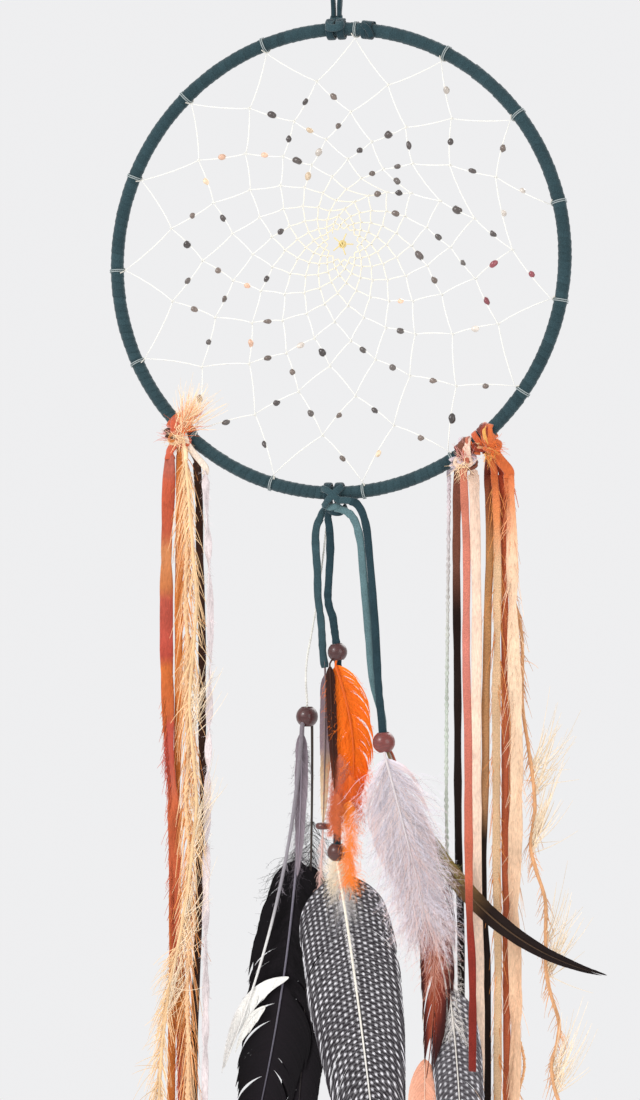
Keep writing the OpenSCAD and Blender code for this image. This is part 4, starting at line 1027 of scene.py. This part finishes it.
# Left drop: a slim grey-mauve down feather, close behind the white one.
feather = Feather(50, (-15.6, -89), (-15.4, -118), (-17.2, -145.5))
feather.quill(6.0, 0.9, colour(150, 140, 150), into=(-14.9, 7.4, -85.5))
feather.vane(6.2, 0.04, 2.4, 2.4, from_root(colour(120, 108, 116), colour(150, 138, 146)), 120, 6, 2.2, 0.3)
feather.down(6.2, (0.03, 0.95), 260, (1.5, 4.0), colour(140, 128, 136), 1.0, 0.1, 0.1)
feather.make("grey_down", down_look, "dark_feather", "left_drop", "grey_down_feather")

# Left drop, behind: two broad black feathers, their bases loose and downy.
feather = Feather(51, (-15.4, -89), (-16.5, -187.5), (-44.7, -282))
feather.quill(7.5, 1.3, by_part((0, 150, 140, 146), (0.35, 120, 116, 128), (1, 40, 38, 46)), end=0.985,
              into=(-14.5, 8.2, -85.5))
feather.vane(7.9, 0.26, 13.4, 15, from_root(SOOT, BLACK, 0.5), 420, 11, 1.2, 0.16)
feather.down(7.9, (0.02, 0.30), 420, (2, 7), colour(96, 88, 96), 1.1, 0.12, 0.1, barbules=4)
feather.down(7.9, (0.24, 0.5), 420, (8, 17), BLACK, 0.7, 0.08, 0.14, barbules=5)
feather.make("black_plume_left", dark_plume, "dark_feather", "left_drop", "black_feather_left")

feather = Feather(52, (-12.1, -89), (-11.4, -176), (-20.8, -272.5))
feather.quill(8.8, 1.1, by_part((0, 74, 66, 60), (1, 34, 30, 34)), end=0.985, into=(-13.2, 8.9, -85.5))
feather.vane(9.1, 0.3, 9.5, 9.5, from_root(SOOT * 1.1, BLACK, 0.5), 340, 9, 1.3, 0.16)
feather.down(9.1, (0.2, 0.45), 320, (6, 13), BLACK * 1.2, 0.8, 0.1, 0.13, barbules=4)
feather.make("black_plume_right", dark_plume, "dark_feather", "left_drop", "black_feather_right")

# Left drop, in front: the white feather, a bare stem and a slit leaf with a curled blade.
WHITE = colour(232, 230, 224)
feather = Feather(53, (-15, -89), (-18.9, -155.5), (-46.6, -221))
feather.quill(4.8, 1.7, by_part((0, 120, 112, 118), (0.5, 150, 146, 152), (0.6, 214, 212, 210),
              (1, 232, 230, 224)), end=0.99, thin=0.5, into=(-14.6, 7.0, -85.5))
feather.down(5.0, (0.05, 0.5), 200, (1.2, 3.4), colour(158, 150, 158), 1.1, 0.1, 0.1)
blade = spine((-20.4, -184.2), (-42.0, -187), (-47.0, -222))
feather.vane(5.3, 0.0, 1.6, 4.2, from_root(WHITE, colour(238, 237, 234)), 240, 9, 2.2, 0.1, clump=0.05,
             peak=0.9, blunt=1.1, curve=blade)
curled = spine((-29.5, -195.5), (-37.0, -199), (-41.6, -214))
feather.vane(4.7, 0.0, 1.2, 2.6, from_root(WHITE, WHITE), 120, 6, 2.0, 0.12, peak=0.9, blunt=1.1,
             curve=curled)
feather.quill(4.5, 0.4, WHITE, curve=curled)
feather.make("white_plume", plume, "pale_feather", "left_drop", "white_feather")

# Middle drop: a slim dark feather in front, the orange one, and a mauve and a cream one behind on the left.
feather = Feather(54, (-1.8, -64.4), (-0.6, -88), (0, -112))
feather.quill(-3.2, 0.7, colour(60, 34, 26), into=(-0.4, -1.2, -61.5))
feather.vane(-3.0, 0.02, 2.1, 1.8, by_part((0, 52, 28, 22), (0.7, 56, 26, 20), (1, 128, 58, 30)), 200, 7,
             2.0, 0.25)
feather.down(-3.0, (0.02, 0.9), 160, (1.5, 3.4), colour(62, 34, 26), 1.1, 0.1, 0.1)
feather.make("dark_plume", dark_plume, "dark_feather", "middle_drop", "dark_feather")

flame = by_part(
    (0, 240, 120, 34), (0.55, 246, 118, 26), (0.72, 232, 84, 24), (0.86, 176, 66, 40),
    (1.0, 200, 120, 90))
feather = Feather(55, (0.2, -65), (12.5, -98), (3.4, -121.5))
feather.quill(-2.2, 0.9, colour(216, 96, 30), into=(0.6, -1.0, -61.5))
feather.vane(-1.4, 0.0, 7.2, 7.0, flame, 300, 9, 1.3, 0.3, clump=0.2)
feather.down(-1.7, (0.0, 0.95), 900, (4, 11), flame, 0.95, 0.09, 0.14, barbules=7, deep=0.5)
feather.down(-2.2, (0.0, 1.0), 520, (3.0, 6.5), colour(196, 110, 84), 1.0, 0.1, 0.13, barbules=5, deep=0.1,
             curve=spine((2, -98), (1.4, -109), (0.6, -121)))
feather.down(-4.25, (0.0, 1.0), 300, (2.5, 4.5), colour(202, 104, 64), 0.9, 0.08, 0.12, barbules=4,
             deep=0.02, curve=spine((1.6, -113), (1.0, -121), (0.4, -127.5)))
glow = spine((6, -106), (7.0, -124), (6.0, -146))
feather.down(-2.4, (0.0, 0.32), 380, (4, 8), colour(234, 110, 44), 1.05, 0.1, 0.13, barbules=6, curve=glow)
feather.down(-4.15, (0.25, 1.0), 420, (3, 7.5), colour(240, 134, 56), 1.05, 0.1, 0.13, barbules=6,
             deep=0.05, curve=glow)
feather.make("orange_plume", down_look, "orange_feather", "middle_drop", "orange_feather")

feather = Feather(56, (-4.8, -67), (-4.6, -96), (-5.7, -125.7))
feather.quill(1.1, 0.8, colour(120, 104, 106), into=(-5.0, 1.1, -63))
feather.vane(1.4, 0.03, 2.3, 2.3, by_part((0, 112, 96, 104), (0.5, 140, 120, 126), (0.62, 190, 156, 120),
             (1, 236, 212, 178)), 200, 6, 2.4, 0.3)
feather.down(1.4, (0.03, 0.9), 240, (1.5, 3.6), by_part((0, 120, 104, 112), (0.6, 176, 150, 136),
             (1, 232, 208, 176)), 1.1, 0.1, 0.1)
feather.make("mauve_plume", down_look, "dark_feather", "middle_drop", "mauve_feather")

feather = Feather(57, (-5.7, -126.1), (-5.9, -137), (-7.1, -149.4))
feather.quill(1.2, 0.8, colour(220, 180, 170), into=(-5.7, 1.3, -124.5))
feather.down(1.4, (0.1, 0.98), 150, (1.5, 4.2), colour(226, 188, 178), 1.25, 0.08, 0.12)
feather.make("cream_plume", down_look, "pale_feather", "middle_drop", "cream_feather")

# Middle drop, below: the large spotted feather with a white quill and cream down at its base.
GROUND, SPOT = colour(42, 38, 42), colour(222, 220, 224)
feather = Feather(58, (0.2, -136.3), (9.4, -187.5), (20.3, -287.5))
feather.quill(-1.3, 1.3, by_part((0, 236, 226, 204), (0.6, 226, 222, 214), (1, 150, 148, 150)), end=0.99,
              into=(0.2, -0.6, -134))
feather.vane(-0.7, 0.07, 20, 17.5, spotted(GROUND, SPOT, 2.25, 2.3, 0.46), 520, 46, 1.25, 0.06, clump=0.05,
             cup=0.1)
feather.down(-0.9, (0.02, 0.2), 300, (4, 11), by_part((0, 238, 220, 190), (0.12, 190, 184, 180),
             (0.2, 110, 108, 114)), 0.9, 0.12, 0.12, barbules=6)
feather.down(-1.5, (-0.01, 0.09), 260, (3, 7.5), colour(238, 222, 198), 0.8, 0.1, 0.12, barbules=6)
feather.down(-1.6, (0.06, 0.42), 420, (1.4, 3.4), colour(212, 208, 208), 0.35, 0.08, 0.12, taper=0.6)
feather.make("spotted_plume_large", plume, "spotted_feather", "middle_drop", "guinea_feather_large")

# Right drop, in front: the soft grey-pink marabou plume.
feather = Feather(59, (21.5, -97.8), (31, -131), (37.5, -159))


def marabou(t):
    shade = feather.rng.random((len(t), 1))
    return np.where(shade < 0.5, colour(222, 216, 224),
                    np.where(shade < 0.82, colour(228, 208, 204), colour(176, 166, 172)))


feather.quill(-10.9, 1.0, colour(206, 196, 196), into=(20.9, -9.4, -94.5))
feather.vane(-9.8, 0.02, 13, 10, from_root(colour(226, 222, 232), colour(222, 194, 186)), 360, 10, 1.5, 0.5,
             clump=0.3, cup=0.2)
feather.down(-10.6, (0.02, 0.97), 1500, (11, 24), marabou, 0.85, 0.07, 0.12, barbules=16, deep=0.2,
             taper=0.25)
feather.down(-10.3, (0.35, 1.0), 420, (10, 20), lambda t: marabou(t) * colour(250, 228, 222), 1.2, 0.07,
             0.12, barbules=12, deep=0.2)
feather.make("marabou_plume", down_look, "pale_feather", "right_drop", "fluffy_feather")

# Right drop: rust, long curved dark, spotted and peach feathers behind the marabou.
rusty = by_part((0, 150, 76, 50), (0.45, 122, 48, 32), (0.8, 60, 20, 18), (1, 52, 20, 18))
feather = Feather(60, (23.6, -97.8), (46.3, -153.6), (36.5, -218))
feather.quill(-7.1, 0.9, colour(150, 78, 56), into=(21.6, -7.6, -94.5))
feather.vane(-6.8, 0.24, 6.0, 8.6, lambda t, across, u, side, run: rusty(u + 0.2 * (t - 0.6)), 420, 10, 2.7,
             0.3, clump=0.14)
feather.down(-6.9, (0.3, 0.7), 320, (6, 12), colour(206, 146, 126), 1.15, 0.08, 0.12, barbules=4)
feather.make("rust_plume", plume, "orange_feather", "right_drop", "rust_feather")

feather = Feather(61, (22.3, -97.8), (48.6, -166.8), (104.6, -177))
feather.quill(-8.3, 1.0, by_part((0, 120, 104, 70), (0.4, 98, 74, 50), (1, 40, 30, 26)), end=0.99,
              into=(20.9, -8.2, -94.5))
feather.vane(-7.9, 0.2, 3.4, 3.4, by_part((0.2, 150, 140, 72), (0.42, 112, 84, 52), (0.55, 32, 20, 16),
             (1, 20, 13, 13)), 420, 8, 2.6, 0.12, clump=0.06, cup=0.3)
feather.down(-7.9, (0.12, 0.4), 160, (4, 8), colour(158, 150, 96), 0.9, 0.1, 0.12)
feather.make("curved_plume", dark_plume, "dark_feather", "right_drop", "curved_feather")

feather = Feather(62, (22.5, -97.8), (51.4, -164.9), (50.2, -280))
feather.quill(-6.1, 1.1, colour(214, 208, 200), end=0.99, into=(20.6, -7.2, -94.5))
feather.vane(-5.7, 0.54, 9.6, 9.6, spotted(colour(66, 62, 66), colour(208, 206, 210), 2.05, 2.1, 0.43), 340,
             26, 1.3, 0.08, clump=0.06)
feather.down(-5.7, (0.4, 0.62), 320, (4, 10), colour(226, 220, 214), 0.95, 0.1, 0.12, barbules=6)
feather.make("spotted_plume_small", plume, "spotted_feather", "right_drop", "guinea_feather_small")

feather = Feather(63, (22.3, -97.8), (40.2, -164.9), (33.6, -276))
feather.quill(-4.9, 0.8, colour(226, 190, 168), into=(20.4, -7.0, -94.5))
feather.vane(-4.7, 0.69, 6.0, 6.0, from_root(colour(214, 150, 122), colour(226, 170, 144)), 160, 8, 2.0,
             0.3, clump=0.15)
feather.down(-4.7, (0.7, 0.95), 140, (3, 7), colour(236, 186, 160), 1.0, 0.1, 0.12)
feather.make("peach_plume", plume, "pale_feather", "right_drop", "peach_feather")
